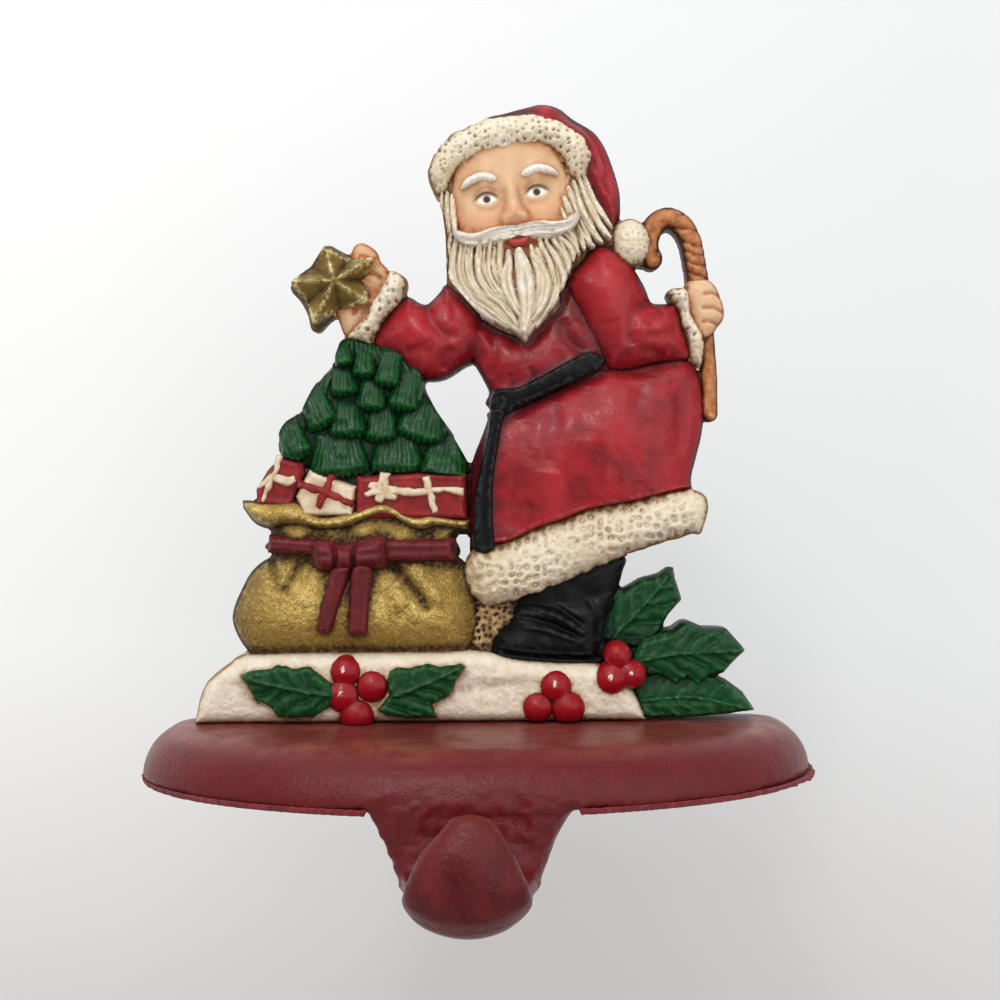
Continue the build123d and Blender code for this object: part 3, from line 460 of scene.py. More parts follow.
far_sleeve = Patch(curve([(-11, 68.6), (-9.8, 68.4), (-8.8, 67.7), (-7.6, 67.4), (-6.5, 68.2), (-5.3, 69.5),
                          (-4.4, 70.6), (-2.2, 69), (0.6, 66.4), (1.8, 63), (0.8, 59.6), (-0.3, 57.9),
                          (-1.5, 57.2), (-4, 55.6), (-6, 55), (-8, 55.2), (-9.7, 56.2), (-10.7, 57.3),
                          (-11.8, 58.5), (-13, 59.2), (-14.5, 59.7), (-16, 60.8), (-15.6, 63), (-13.4, 66)]))
x, z = far_sleeve.x, far_sleeve.z
depth = far_sleeve.swell(4, 11.2, 6.5) + 0.1 * lumps(x, z, 1.3, 44)
# The far sleeve carries painted highlights
form("far_sleeve", "coat_red", far_sleeve, folded(far_sleeve, depth, [
    ([(-7.6, 67.2), (-6.8, 64.4), (-4.8, 62.4), (-2.4, 61.6)], 1.0, -0.9),
    ([(-11, 59.5), (-8.6, 60), (-6.4, 59.2)], 0.9, -0.6),
    ([(-5, 69.4), (-3.4, 66.6), (-2.6, 64)], 0.9, -0.5),
    ([(-4.6, 56.6), (-4.8, 58.6), (-3.2, 60.2)], 0.9, -0.6),
    ([(-9.4, 66), (-8.8, 63), (-7.4, 61)], 1.3, 0.5)]),
     sheen=0.8 * bulge(x, z, -9, 63, 4, 5) + 0.5 * bulge(x, z, -3, 66, 2.5, 3))

near_sleeve = Patch(curve([(15.2, 70.4), (16.3, 72.7), (17.8, 74), (19.6, 76.1), (21.6, 76.4), (24.5, 74.5),
                           (26, 73), (27.8, 70), (28.8, 67.5), (30, 67.1), (32.5, 67), (33.4, 65.5), (34, 63),
                           (34.8, 60.6), (35, 58.3), (32.6, 57.7), (30, 57.5), (28, 57), (25, 56.3),
                           (22.5, 56.3), (21.4, 57), (20.8, 58.3), (20, 60), (18.5, 63), (17.2, 66),
                           (16, 68)]))
x, z = near_sleeve.x, near_sleeve.z
depth = near_sleeve.swell(5, 13.0, 7) + 0.1 * lumps(x, z, 1.3, 45)
# The near sleeve carries painted highlights
form("near_sleeve", "coat_red", near_sleeve, folded(near_sleeve, depth, [
    ([(28.4, 67.4), (26, 65.4), (25, 62.4), (25.6, 60)], 1.1, -1.0),
    ([(33, 62.6), (30, 61.6), (27.6, 61.8)], 1.0, -0.7),
    ([(31, 58.4), (28.4, 59.4), (26.4, 59.2)], 0.9, -0.6), ([(22.6, 73.6), (21.4, 69), (22.2, 64)], 1.6, 0.6),
    ([(30.6, 66), (29, 64.4), (28, 63)], 0.9, -0.5)]),
     sheen=0.9 * bulge(x, z, 21.6, 70, 3.4, 7, 10) + 0.6 * bulge(x, z, 28.4, 63.6, 5, 3.6))

# Fur cuffs and hem
far_cuff = Patch(curve([(-13.5, 72.7), (-12.3, 72.5), (-11, 71.7), (-10.6, 70.8), (-11.3, 68.5), (-12.3, 67),
                        (-13.5, 65.8), (-14.8, 64.5), (-15.2, 63.3), (-16.2, 62.3), (-16.6, 61),
                        (-17.8, 61.3), (-20.3, 62), (-18.8, 64), (-17.2, 65.6), (-16.4, 67.6), (-15.3, 69),
                        (-14.5, 70.5), (-13.9, 71.5)]))
form("far_cuff", "fur", far_cuff, far_cuff.swell(6, 11, 2.6) + 2.1 * fur(far_cuff.x, far_cuff.z, 51, 1.45),
     shade=0.8 * bulge(far_cuff.x, far_cuff.z, -17.6, 62.6, 3, 2.4) + 0.4 * far_cuff.edge_fade(0.9))
near_cuff = Patch(curve([(31.4, 68.8), (32.5, 69.5), (34.5, 69.4), (35, 67.6), (35.2, 65.5), (36.5, 63),
                         (37.2, 61.5), (37.3, 60), (36.9, 57), (35.8, 57.4), (35, 59), (34.6, 62),
                         (33.7, 63.5), (33.3, 65.7), (32.4, 67.2)]))
form("near_cuff", "fur", near_cuff,
     near_cuff.swell(6, 11, 2.4) + 1.7 * fur(near_cuff.x, near_cuff.z, 52, 1.35),
     shade=0.7 * bulge(near_cuff.x, near_cuff.z, 36.4, 58.6, 2, 2.4) + 0.4 * near_cuff.edge_fade(0.9))
hem = Patch(hem_outline)
x, z = hem.x, hem.z
hem.inside = hem.inside + 0.35 * lumps(x, z, 1.3, 56)
form("coat_hem", "fur", hem, hem.swell(6.5, 13.2, 4.2) + 0.9 * fur(x, z, 53, 1.5, 0.2),
     shade=0.15 + 0.65 * bulge(x, z, 0.5, 23, 6, 8) + 0.4 * bulge(x, z, 19, 30, 5, 8)
     + 0.6 * hem.edge_fade(1.4))

# Belt, its knot and the hanging sash
belt = Patch(curve([(3.4, 53), (4.4, 53.5), (7, 53.6), (10, 55), (13, 56.6), (16, 58.2), (18.3, 59.2),
                    (20, 59), (21.2, 58.2), (21, 57), (20, 56), (17, 54.8), (14, 53.5), (10, 51.7), (7, 50.2),
                    (5, 49), (3, 49.4), (2.6, 51.4)]))
x, z = belt.x, belt.z
form("belt", "black", belt, belt.dome(8.8, 11.0, 0.9)
     + 0.5 * crease(x, z, [(6, 52), (13, 55), (20.4, 57.8)], 1.4)
     + 0.12 * lumps(x, z, 1, 46) - 0.3 * crease(x, z, [(8, 51.6), (12, 53.4), (15, 54.6)], 0.4))
sash = Patch(curve([(5.2, 50), (4.6, 47.5), (4, 44), (3.4, 40.5), (3.1, 37), (3.1, 32), (3.2, 27.6),
                    (0, 27.4), (-0.1, 33), (0.2, 37.3), (1, 41), (1.6, 43.7), (2.3, 47), (2.8, 50)]))
form("sash", "black", sash, sash.dome(9.6, 12.2, 1.0)
     - 0.4 * crease(sash.x, sash.z, [(4, 48.6), (2.4, 42), (1.5, 35), (1.5, 28)], 0.4))
knot = Patch(curve([(2.6, 50.6), (3.2, 52.4), (4.6, 52.9), (5.8, 52), (6, 50.4), (5, 49.2), (3.6, 49.2)]))
form("belt_knot", "black", knot, knot.swell(8, 11.8, 1.6)
     - 0.6 * crease(knot.x, knot.z, [(3.2, 49.4), (4, 51), (4.2, 53)], 0.4))

# Rock beside the boot, the boot and the leg above it
rock = Patch(curve([(-0.6, 10.4), (-0.8, 14), (-0.2, 17.4), (0.4, 19.6), (6.5, 20), (7.6, 17.4), (5.6, 15),
                    (3.6, 12.5), (3, 10)]))
form("rock", "rock", rock, rock.swell(4.5, 8.6, 3) + 0.9 * lumps(rock.x, rock.z, 1.8, 61)
     + 1.4 * fur(rock.x, rock.z, 62, 1.05, 0.1))
leg = Patch(curve([(6.6, 18.6), (7.4, 22), (14, 24), (20, 26), (24.4, 26), (24, 23.6), (23.2, 21), (21.8, 17),
                   (16, 16), (9, 16.6)]))
form("leg", "black", leg, leg.dome(5, 9.4, 4) + 0.3 * lumps(leg.x, leg.z, 2.2, 63))
boot = Patch(curve([(6.6, 18.4), (5.5, 15.7), (3.5, 14.3), (2.8, 12.5), (2.6, 10), (7, 9.2), (12, 8.8),
                    (16, 8.3), (20, 8.9), (21, 11), (21.2, 14), (21.6, 17.2), (22.2, 20.8), (18, 20.2),
                    (14, 19.6), (10, 19.4)]))
x, z = boot.x, boot.z
depth = boot.swell(6, 12.0, 5) + 0.9 * bulge(x, z, 9, 11.6, 5, 2.2)
depth = folded(boot, depth, [
    ([(8.6, 19.4), (12.7, 18.4), (17.4, 15.4)], 0.5, -0.9),
    ([(10, 17.9), (13.6, 16.6), (17.6, 14)], 0.45, 0.6),
    ([(6.8, 16.9), (11.6, 15.8), (17.4, 13.2)], 0.5, -0.9),
    ([(7.4, 15.2), (11.4, 14.6), (16, 13)], 0.45, 0.5), ([(18, 19.6), (19.6, 16.4), (19.6, 13)], 0.7, -0.6),
    ([(3, 11.5), (10, 10.5), (20.4, 10)], 0.35, -1.1)])
form("boot", "black", boot, depth + 0.15 * lumps(x, z, 1.4, 64))

# Head: hair, face, beard, moustache and brows. The face is turned a little, so it has its own axes.
TILT = math.radians(8)
FACE_MIDDLE = (6.4, 84.2)


def face_axes(x, z):
    """Squares to the right of the nose line and above the eye line."""
    dx, dz = x - FACE_MIDDLE[0], z - FACE_MIDDLE[1]
    return dx * math.cos(TILT) + dz * math.sin(TILT), dz * math.cos(TILT) - dx * math.sin(TILT)


def on_face(points):
    """Points given on the face's own axes, as points of the drawing."""
    return [(FACE_MIDDLE[0] + u * math.cos(TILT) - v * math.sin(TILT),
             FACE_MIDDLE[1] + u * math.sin(TILT) + v * math.cos(TILT)) for u, v in points]


hair = Patch(curve([(-5.2, 84.6), (-4.8, 82), (-4.3, 78), (-4.2, 74), (-4.2, 70.6), (-3.4, 69.7),
                    (-1.5, 67.8), (0.4, 66), (3, 64.4), (8.4, 63.2), (13.3, 66), (14.2, 67.4), (14, 68.6),
                    (14.9, 69.8), (15.5, 71.6), (16.4, 72.8), (17.9, 74.2), (18.7, 75.5), (19.8, 76.4),
                    (21.6, 76.8), (22.8, 76.6), (23, 79), (21.8, 81.2), (20.2, 83.4), (19.4, 85.2),
                    (18.6, 87.4), (12, 91), (2, 91), (-3, 88)]))
side_locks = [([(-4.9, 85), (-4.8, 81), (-4.3, 77.4), (-4.2, 73)], 0.6, 10.2),
              ([(-4, 85), (-3.8, 81), (-3.4, 77)], 0.6, 10.8),
              ([(-3.2, 84.6), (-3, 81), (-2.6, 78)], 0.55, 11.0),
              ([(18, 87.6), (19.6, 83.6), (22.4, 79.4)], 0.7, 10.0),
              ([(17.2, 87.4), (18.6, 83.2), (21.4, 78.2)], 0.75, 10.5),
              ([(16.4, 86.6), (17.6, 82.4), (20.2, 77.2)], 0.75, 10.9),
              ([(15.6, 85.6), (16.8, 81.6), (19, 76.6)], 0.8, 11.2),
              ([(14.8, 84), (16, 80.8), (18, 75.8)], 0.8, 11.3),
              ([(17.8, 85), (19.6, 81), (22.2, 77.6)], 0.7, 10.4),
              ([(16.6, 83.4), (18.6, 79.6), (20.8, 76.8)], 0.7, 10.9),
              ([(14.4, 82), (15.6, 79), (17, 75)], 0.8, 11.5),
              ([(16.2, 81), (17.8, 78), (19.6, 76)], 0.7, 11.1)]
x, z = hair.x, hair.z
depth = hair.swell(5, 9.0, 4) + 0.2 * np.abs(np.sin(4 * x - 1.2 * z))
form("hair", "beard", hair, lay_locks(hair, depth, side_locks))

face = Patch(oval(*FACE_MIDDLE, 9.6, 11.5, -8, 28))
x, z = face.x, face.z
u, v = face_axes(x, z)
w = np.abs(u)
depth = face.swell(7.6, 11.4, 8)
depth = depth - 1.0 * bulge(w, v, 3.9, 0.4, 2.4, 1.5) + 0.75 * bulge(w, v, 4.0, -0.1, 1.7, 1.0)
depth = depth + 0.5 * bulge(w, v, 4.0, 2.9, 3.0, 0.9, 80)
depth = depth + 1.3 * bulge(u, v, 0, 0, 0.95, 2.6) + 3.0 * bulge(u, v, 0, -3.1, 1.3, 1.5)
depth = depth + 1.7 * bulge(w, v, 1.5, -3.7, 0.85, 0.85)
depth = depth + 1.2 * bulge(w, v, 5.3, -3.7, 2.7, 2.3) - 0.35 * bulge(w, v, 2.6, -4.8, 0.6, 2.0, -28)
upper_lid = [(2.1, -0.1), (3.2, 0.95), (4.8, 1.0), (6.2, 0.0)]
lower_lid = [(2.1, -0.2), (3.4, -1.0), (4.8, -1.0), (6.1, -0.1)]
depth = depth + 0.35 * crease(w, v, upper_lid, 0.34) + 0.28 * crease(w, v, lower_lid, 0.3)
EYE_AWAY = 4.05             # from the nose line
eye = np.hypot((w - EYE_AWAY) / 1.7, (v + 0.05) / 0.72)
form("face", "skin", face, depth, white=np.clip((1 - eye) * 5, 0, 1),
     dark=np.clip((0.7 - np.hypot(w - EYE_AWAY, v)) * 6, 0, 1) + 0.95 * crease(w, v, upper_lid, 0.3),
     shade=0.6 * crease(w, v, [(1.1, 1.8), (1.2, -0.6), (1.9, -2.6), (2.5, -3.9)], 0.4)
     + 0.5 * crease(w, v, [(1.9, 0.8), (4.1, 2.0), (6.3, 0.7)], 0.34)
     + 0.4 * crease(w, v, [(2.4, -1.3), (4.1, -1.9), (5.9, -1.2)], 0.36)
     + 0.7 * crease(w, v, [(2.1, -2.7), (2.4, -3.7), (1.7, -4.5), (0.4, -4.5)], 0.4),
     blush=0.7 * bulge(w, v, 5.2, -3.6, 2.6, 2.0) + 0.7 * bulge(u, v, 0, -3.2, 1.3, 1.1))

lower_lip = Patch(curve(on_face([(-1.9, -6.9), (0, -7.1), (1.9, -6.9), (1.2, -8.2), (0, -8.5),
                                 (-1.2, -8.2)])))
beard = Patch(curve([(-3.6, 78.4), (-3.7, 74), (-3.6, 71), (-1.4, 68.2), (0.5, 66.1), (3, 64.2), (5, 63.2),
                     (6.8, 62.2), (8.4, 60.5), (10, 62.6), (11.5, 64.2), (13.3, 65.8), (14, 67), (13.8, 68.5),
                     (14.7, 69.6), (15.3, 71.5), (16.4, 74), (17, 77), (16, 79.4), (11, 78), (6.4, 77.2),
                     (1, 77)]))
beard_locks = [
    ([(-3.4, 78), (-3.8, 74), (-3.4, 70.8), (-0.6, 67.2), (3.4, 64.2)], 0.8, 11.4),
    ([(-2.3, 78.4), (-2.9, 73.6), (-2.2, 70.2), (1, 66.8), (5.6, 63.2)], 0.85, 12.0),
    ([(-1.2, 78), (-1.8, 72.8), (-0.7, 69.4), (2.6, 66.4), (7, 62.6)], 0.9, 12.4),
    ([(0, 77.8), (-0.5, 72.4), (0.9, 68.9), (4.2, 66), (8, 61.8)], 0.9, 12.8),
    ([(1.4, 77.6), (1, 72), (2.6, 68.8), (5.5, 66), (8.4, 61.4)], 0.95, 13.1),
    ([(3, 77.4), (2.7, 71.9), (4.2, 69), (6.6, 66.4), (8.5, 62.6)], 0.95, 13.3),
    ([(4.5, 77.2), (4.4, 72.2), (5.7, 69.4), (7.4, 67), (8.6, 64)], 0.95, 13.5),
    ([(5.8, 75.2), (5.9, 72.4), (6.6, 70), (7.8, 67.4)], 0.9, 13.4),
    ([(10.3, 75.4), (11, 72), (11.2, 68.9), (10.2, 65.6), (8.8, 62.2)], 1.0, 13.3),
    ([(10.8, 77), (12.4, 71.6), (12.6, 68.7), (11.6, 66), (10.2, 63.4)], 0.9, 12.8),
    ([(11.8, 77), (13.4, 71.2), (13.5, 68.6), (12.4, 66.2)], 0.85, 12.4),
    ([(11.8, 76.6), (13.6, 73.8), (14.5, 71.2), (14.5, 69.4)], 0.85, 12.8),
    ([(12.9, 77), (14.8, 74.4), (15.5, 72)], 0.85, 12.6),
    ([(13.9, 77.6), (15.8, 75.6), (16.4, 73.6)], 0.8, 12.4),
    ([(13.6, 79), (15.8, 77.4), (16.8, 75.2)], 0.8, 12.2),
    ([(12.6, 78.6), (14.2, 76), (15.4, 73.2)], 0.7, 12.5),
    ([(10.9, 76.4), (12.4, 73.4), (13.2, 70)], 0.7, 12.7),
    ([(9.4, 76), (9.9, 73), (10.2, 69.6), (9.6, 66)], 0.8, 13.2),
    ([(-0.9, 77), (-1, 73.4), (0.4, 69.4), (3.4, 66.6)], 0.55, 12.7),
    ([(2, 76), (1.9, 72.6), (3.4, 69), (5.8, 66.6)], 0.55, 13.3),
    ([(3.6, 75.8), (3.5, 72.4), (5, 69.2), (7, 66.6)], 0.55, 13.5),
    ([(10, 74), (11.2, 71), (11, 67.8), (9.6, 64.4)], 1.3, 14.0),
    ([(5.9, 73.6), (5.4, 70.6), (6.2, 67.8), (7.8, 64.8)], 1.25, 14.0),
    ([(7.5, 75), (8.2, 72), (8.6, 69.2), (8.7, 66), (8.2, 62.4)], 1.6, 14.6)]
x, z = beard.x, beard.z
# Painted highlights on the beard's middle locks
form("beard", "beard", beard, lay_locks(beard, beard.swell(8.2, 11.2, 5), beard_locks),
     sheen=0.8 * bulge(x, z, 8.3, 69.6, 1.7, 4.6) + 0.3 * bulge(x, z, 3, 71, 1.6, 4))
form("lower_lip", "lip", lower_lip, lower_lip.dome(12.2, 14.0, 1.0))
moustache_outline = [(-1.0, -5.4), (2.2, -5.0), (5, -5.0), (7.6, -5.0), (9.8, -4.2), (10.2, -5.0),
                     (8.8, -6.8), (6, -7.8), (3, -7.6), (0.9, -6.9), (-0.8, -6.2)]
tress_line = [(-0.8, -5.9), (3, -5.7), (6, -6.2), (8.6, -6), (10, -4.8)]
brow_outline = [(1.9, 3.0), (2.8, 4.0), (4.7, 4.4), (6.8, 3.7), (7.9, 2.3), (6.6, 2.6), (4.6, 3.0),
                (3.0, 2.6)]
for label, way in (("left", -1), ("right", 1)):
    half = Patch(curve(on_face([(way * a, b) for a, b in moustache_outline])))
    tresses = []
    for row, shift in enumerate((0.75, 0.15, -0.45, -1.05)):
        line = on_face([(way * a, b + shift * (1 - 0.07 * a)) for a, b in tress_line])
        tresses.append((line, 0.5, 14.6 - 0.25 * row))
    form("moustache_" + label, "white_hair", half, lay_locks(half, half.swell(11.2, 13.6, 2.4), tresses, 1.5))
    brow = Patch(curve(on_face([(way * a, b) for a, b in brow_outline])))
    u, v = face_axes(brow.x, brow.z)
    hairs = np.abs(np.sin(3.1 * (way * u * 1.2 + v)))
    form("brow_" + label, "white_hair", brow, brow.swell(11.0, 12.6, 1.4) + 0.3 * hairs)

# Hat, its fur band and the pompom
hat = Patch(curve([(-1, 94.6), (0.3, 96.3), (2.5, 97.8), (5, 98.4), (9, 99.4), (11.5, 99.9), (14.2, 99.2),
                   (16.5, 97.5), (19.5, 95.6), (20.8, 94.2), (22, 92), (23.3, 88.3), (23.9, 86), (24.1, 84),
                   (24, 81.4), (22.8, 79.4), (21.8, 81), (20, 83.3), (19, 85), (17.6, 87), (14, 92),
                   (5, 93.6)]))
x, z = hat.x, hat.z
depth = folded(hat, hat.swell(4, 9.2, 4.5), [
    ([(14.6, 98.4), (18.4, 95), (21.2, 90), (22, 85)], 0.7, -0.7),
    ([(17, 96), (20, 92), (20.8, 86)], 0.6, 0.45),
    ([(4, 97.6), (9, 98.2), (13, 97.6)], 0.6, -0.4), ([(19.4, 90.6), (21, 87), (22.6, 84.6)], 0.5, -0.5)])
# Painted highlights along the top and the right side of the hat
form("hat", "coat_red", hat, depth + 0.07 * lumps(x, z, 1.2, 81),
     sheen=0.9 * bulge(x, z, 12, 98.6, 5, 1.2, -80) + 0.9 * bulge(x, z, 21.6, 89, 1.6, 6, -14))
band_outer = [(-5.4, 84.6), (-6.5, 86), (-7, 88), (-6.6, 90), (-5.5, 92.2), (-4.3, 93.6), (-2.5, 95),
              (-0.5, 96), (2.8, 97.2), (6, 97.5), (9.5, 97.8), (12.5, 97.3), (14.7, 96.2), (16.5, 95.2),
              (18, 94), (19, 92), (19.3, 90.3), (18.8, 88.5), (18.3, 87.2)]
band_inner = [(16.8, 87.3), (15.6, 88.3), (15.1, 89.8), (14.3, 91.3), (12.5, 92.3), (10, 92.6), (7.5, 92.2),
              (4.5, 91.4), (2, 91), (0, 90.2), (-2, 89), (-3.3, 87), (-4, 85.5)]
hat_band = Patch(curve(band_outer + band_inner, steps=4))
x, z = hat_band.x, hat_band.z
hat_band.inside = hat_band.inside + 0.35 * lumps(x, z, 1.2, 57)
form("hat_band", "fur", hat_band, hat_band.swell(6.5, 12.4, 3.4) + 1.3 * fur(x, z, 54, 1.15),
     shade=0.6 * bulge(x, z, -5.4, 87.4, 3, 4) + 0.6 * bulge(x, z, 18, 89, 2, 4)
     + 0.45 * hat_band.edge_fade(1.2))
pompom = Patch(curve([(22.7, 77), (22.9, 79), (24.2, 80.6), (26, 81), (27.8, 80), (28.8, 78), (28.7, 75.6),
                      (27.6, 73.8), (25.8, 73.1), (24, 73.8), (23, 75.2)]))
form("pompom", "fur", pompom, pompom.swell(5, 10.6, 4) + 0.55 * fur(pompom.x, pompom.z, 55, 1.05),
     shade=0.8 * pompom.edge_fade(1.5))

# Hands: fingers laid side by side
far_hand = Patch(curve([(-19.8, 75.4), (-19.2, 77), (-18, 77.5), (-16.6, 76.9), (-15.5, 75.9), (-15, 74.5),
                        (-13.6, 72.7), (-14, 70), (-16, 66.4), (-18.4, 63.4), (-20.6, 62.2), (-21.7, 64.4),
                        (-22.2, 66.6), (-20.6, 68.4), (-20, 72)]))
x, z = far_hand.x, far_hand.z
depth = folded(far_hand, far_hand.swell(5, 7.0, 3), [
    ([(-19.6, 65.6), (-18.4, 67.4), (-16.4, 68.8)], 0.4, -0.8),
    ([(-17.4, 72.4), (-16, 72.4), (-14.6, 71.4)], 0.4, -0.8),
    ([(-18.6, 75.2), (-17, 75), (-15.6, 74)], 0.4, -0.7)])
form("far_hand", "skin", far_hand, depth, blush=0.3 * bulge(x, z, -17.5, 76.4, 2, 1.5))
near_hand = Patch(curve([(34.6, 70.4), (36, 71.2), (38, 71.1), (39.3, 70.1), (40.3, 68), (40.8, 66),
                         (40.6, 64.5), (39.5, 63), (38.8, 62), (37.4, 61.4), (36.2, 62.6), (35, 65.6),
                         (34.4, 68.4)]))
form("near_hand", "skin", near_hand, folded(near_hand, near_hand.swell(5, 9.4, 3), [
    ([(37, 68.4), (38.8, 68.6), (40.4, 67.8)], 0.36, -0.8),
    ([(36.8, 66.2), (38.8, 66.2), (40.8, 65.4)], 0.36, -0.8),
    ([(36.8, 64), (38.4, 64), (40, 63.4)], 0.36, -0.7)]))

# Twisted cane
crook_line = curve([(37.2, 66), (36.8, 70), (36.2, 74), (35.4, 77.8), (33.8, 80.4), (31.6, 81.2), (29.6, 80),
                    (28.6, 77.6), (28.7, 75.8), (29.2, 74.6)], closed=False)
cane_line = curve([(37.8, 64), (38, 60), (38.3, 55), (38.4, 49.3)], closed=False)
for label, line, radius in (("crook", crook_line, 1.75), ("lower", cane_line, 1.35)):
    cane = Patch(line, margin=radius + 0.8)
    gap, share = from_line(line, cane.x, cane.z)
    cane.inside = (radius - gap) * SQUARE
    run = share * np.hypot(*np.diff(line, axis=0).T).sum()
    twist = np.sin(0.9 * run + 0.8 * (cane.x + cane.z) + 1.4 * lumps(cane.x, cane.z, 2.4, 84))
    depth = 4.4 + 2.5 * np.sqrt(np.clip(1 - (gap / radius) ** 2, 0, 1)) + 0.7 * np.abs(twist) ** 0.7
    form("cane_" + label, "cane", cane, depth + 0.2 * lumps(cane.x, cane.z, 0.9, 85))

# Holly leaves with raised veins
leaf_shapes = [
    ("left", [(-38.3, 7.2), (-36.8, 8), (-33.3, 8.4), (-32.5, 8.9), (-31, 8.8), (-29.6, 8.3), (-28.2, 8.6),
              (-27, 8.6), (-24.7, 6.8), (-23.6, 6), (-23, 4), (-23.7, 2.2), (-26.5, 0.3), (-31, 0.2),
              (-32.5, 0.4), (-33.3, 1.8), (-34.6, 2.6), (-36, 3), (-36.5, 4.3)],
     [(-22.6, 3.8), (-30, 5), (-38, 7)], 12.6, 16.2),
    ("middle", [(-14.6, 6.3), (-14, 7.8), (-12.8, 8.5), (-11, 8.3), (-7.8, 9), (-6, 8.5), (-2.6, 8.9),
                (-1.8, 8.3), (-3.3, 6), (-3.8, 4.5), (-4.8, 3.3), (-7, 2.3), (-6.4, 0.1), (-11, 0),
                (-14.8, 0.6), (-16.2, 1.5), (-14.2, 3.8)], [(-15.6, 3), (-9, 5.4), (-2, 8.6)], 12.6, 16.2),
    ("upper", [(20, 13), (20.6, 19), (23, 21), (24, 20.8), (27, 22.6), (30, 23.3), (31.5, 24.4), (32.3, 24.3),
               (32.6, 22.5), (33.7, 19), (31.5, 16.7), (30.3, 14.5), (27, 11)],
     [(22, 13), (27, 18), (32.2, 24.2)], 4.5, 8.0),
    ("side", [(25, 10), (27, 13), (32, 14.5), (33.5, 15.6), (34.5, 15.7), (37, 14.6), (40.5, 14.5),
              (42.7, 12), (43.4, 11), (41.5, 9.2), (40, 7.4), (37.6, 6.9), (35.6, 5.3), (33.8, 6.6),
              (32, 5.6), (29.8, 7), (27.6, 7.2)], [(26, 9.6), (34, 10.8), (43.2, 11)], 8.6, 12.0),
    ("lower", [(25, 5.6), (26.4, 7.4), (30, 8), (33, 8), (36, 7.8), (40.7, 6), (43, 4.3), (44.8, 1.5),
               (40, 0.8), (33, 0.3), (27, 0.3)], [(26.4, 3.4), (35, 3.8), (44.4, 1.7)], 9.0, 13.6)]
leaf_raise = {"left": (0.9, 0.8), "middle": (0.4, 0.8)}
for label, points, vein, edge, crown in leaf_shapes:
    points, vein = (np.array(line, float) + leaf_raise.get(label, (0, 0)) for line in (points, vein))
    leaf = Patch(points)
    x, z = leaf.x, leaf.z
    gap, share = from_line(curve(vein, closed=False), x, z)
    slant = 15 * share - 1.1 * gap + 0.7 * lumps(x, z, 2.2, 92)
    vein_lines = np.exp(-(np.sin(slant) / 0.22) ** 2) * np.clip(0.6 + 0.7 * lumps(x, z, 1.5, 90), 0, 1)
    depth = leaf.dome(edge, crown, 1.4) - 0.16 * gap + 0.45 * np.exp(-(gap / 0.3) ** 2)
    depth = depth - 0.2 * np.cos(2 * slant) + 0.3 * vein_lines
    if label == "lower":
        depth = depth - 0.75 * np.clip(z - 2.5, 0, 6)
    form("leaf_" + label, "leaf_green", leaf, depth + 0.3 * lumps(x, z, 2.6, 91) + 0.1 * lumps(x, z, 0.8, 93))

# Berries in clusters; on some, a small white spot up and to the left of the middle is both a spot where the
# paint has flaked off and a painted glint
berries = [(-20.6, 8.4, 2.6, 1), (-16.4, 6.0, 2.7, 0), (-21.1, 4.6, 2.85, 1), (-18.9, 1.4, 2.9, 0),
           (12.8, 5.8, 2.65, 1), (9.9, 2.5, 2.55, 0), (14.7, 2.4, 2.85, 0), (22.7, 10.6, 2.25, 0),
           (21.7, 7.0, 2.65, 1), (24.9, 7.6, 2.4, 1)]
for index, (middle_x, middle_z, radius, has_flake_and_glint) in enumerate(berries):
    berry = Patch(oval(middle_x, middle_z, radius, radius, 0, 32))
    x, z = berry.x, berry.z
    gap = np.hypot(x - middle_x, z - middle_z) / radius
    flake_and_glint = np.hypot((x - middle_x + 0.3) / 0.3, (z - middle_z - 0.5) / 0.42)
    flake_and_glint = flake_and_glint + 0.8 * lumps(x, z, 0.3, 95 + index)
    depth = 12.4 + radius * SQUARE * np.sqrt(np.clip(1 - gap ** 2, 0, 1)) + 0.06 * lumps(x, z, 1.4, 94)
    form("berry_%d" % index, "berry", berry, depth, foot=8.0, white=has_flake_and_glint * np.clip((1 - flake_and_glint) * 4, 0, 1))


# The forms make one casting: narrow slits between them are covered, and every foot has a small fillet
SLIT, SLIT_COVER, FILLET = 1.0, 0.8, 0.7    # in millimetres


def joined_relief():
    """The depth of the foremost form at each point of the grid, and where there is any."""
    relief = np.zeros((ROWS, COLUMNS))
    for patch in forms:
        window = relief[patch.place]
        np.maximum(window, np.where(patch.inside > 0, patch.depth, 0), out=window)
    return relief, (relief > 0).astype(float)


relief, cover = joined_relief()
grid_x, grid_z = np.meshgrid(COLUMN_X, ROW_Z)
open_gap = np.hypot((grid_x + 2.4) / 1.5, (grid_z - 27) / 2.6) < 1
slits = (cover == 0) & (blurred(cover, SLIT) > 0.62) & ~open_gap
for patch in forms:
    if not patch.name.startswith(("berry", "present_ribbon", "ribbon")):
        patch.inside = np.where(slits[patch.place], patch.inside + SLIT_COVER, patch.inside)
relief, cover = joined_relief()
smooth = blurred(relief, FILLET)
for patch in forms:
    patch.depth = patch.depth + 0.6 * np.clip(smooth[patch.place] - blurred(patch.depth, FILLET), 0, 2.5)
relief, cover = joined_relief()


def neighbours(reach):
    """The mean depth of the casting round each point, over a reach in millimetres."""
    return blurred(relief, reach) / np.maximum(blurred(cover, reach), 1e-3)


# How deep each point lies among its neighbours, for the washes of paint
close, broad, wide = neighbours(0.5), neighbours(1.6), neighbours(3.5)
silhouette = np.clip(1.5 - 1.5 * blurred(cover, 1.2) + 0.35, 0, 1)
WALL_RECESS = 0.2           # a thin wash on the walls behind the forms' edges


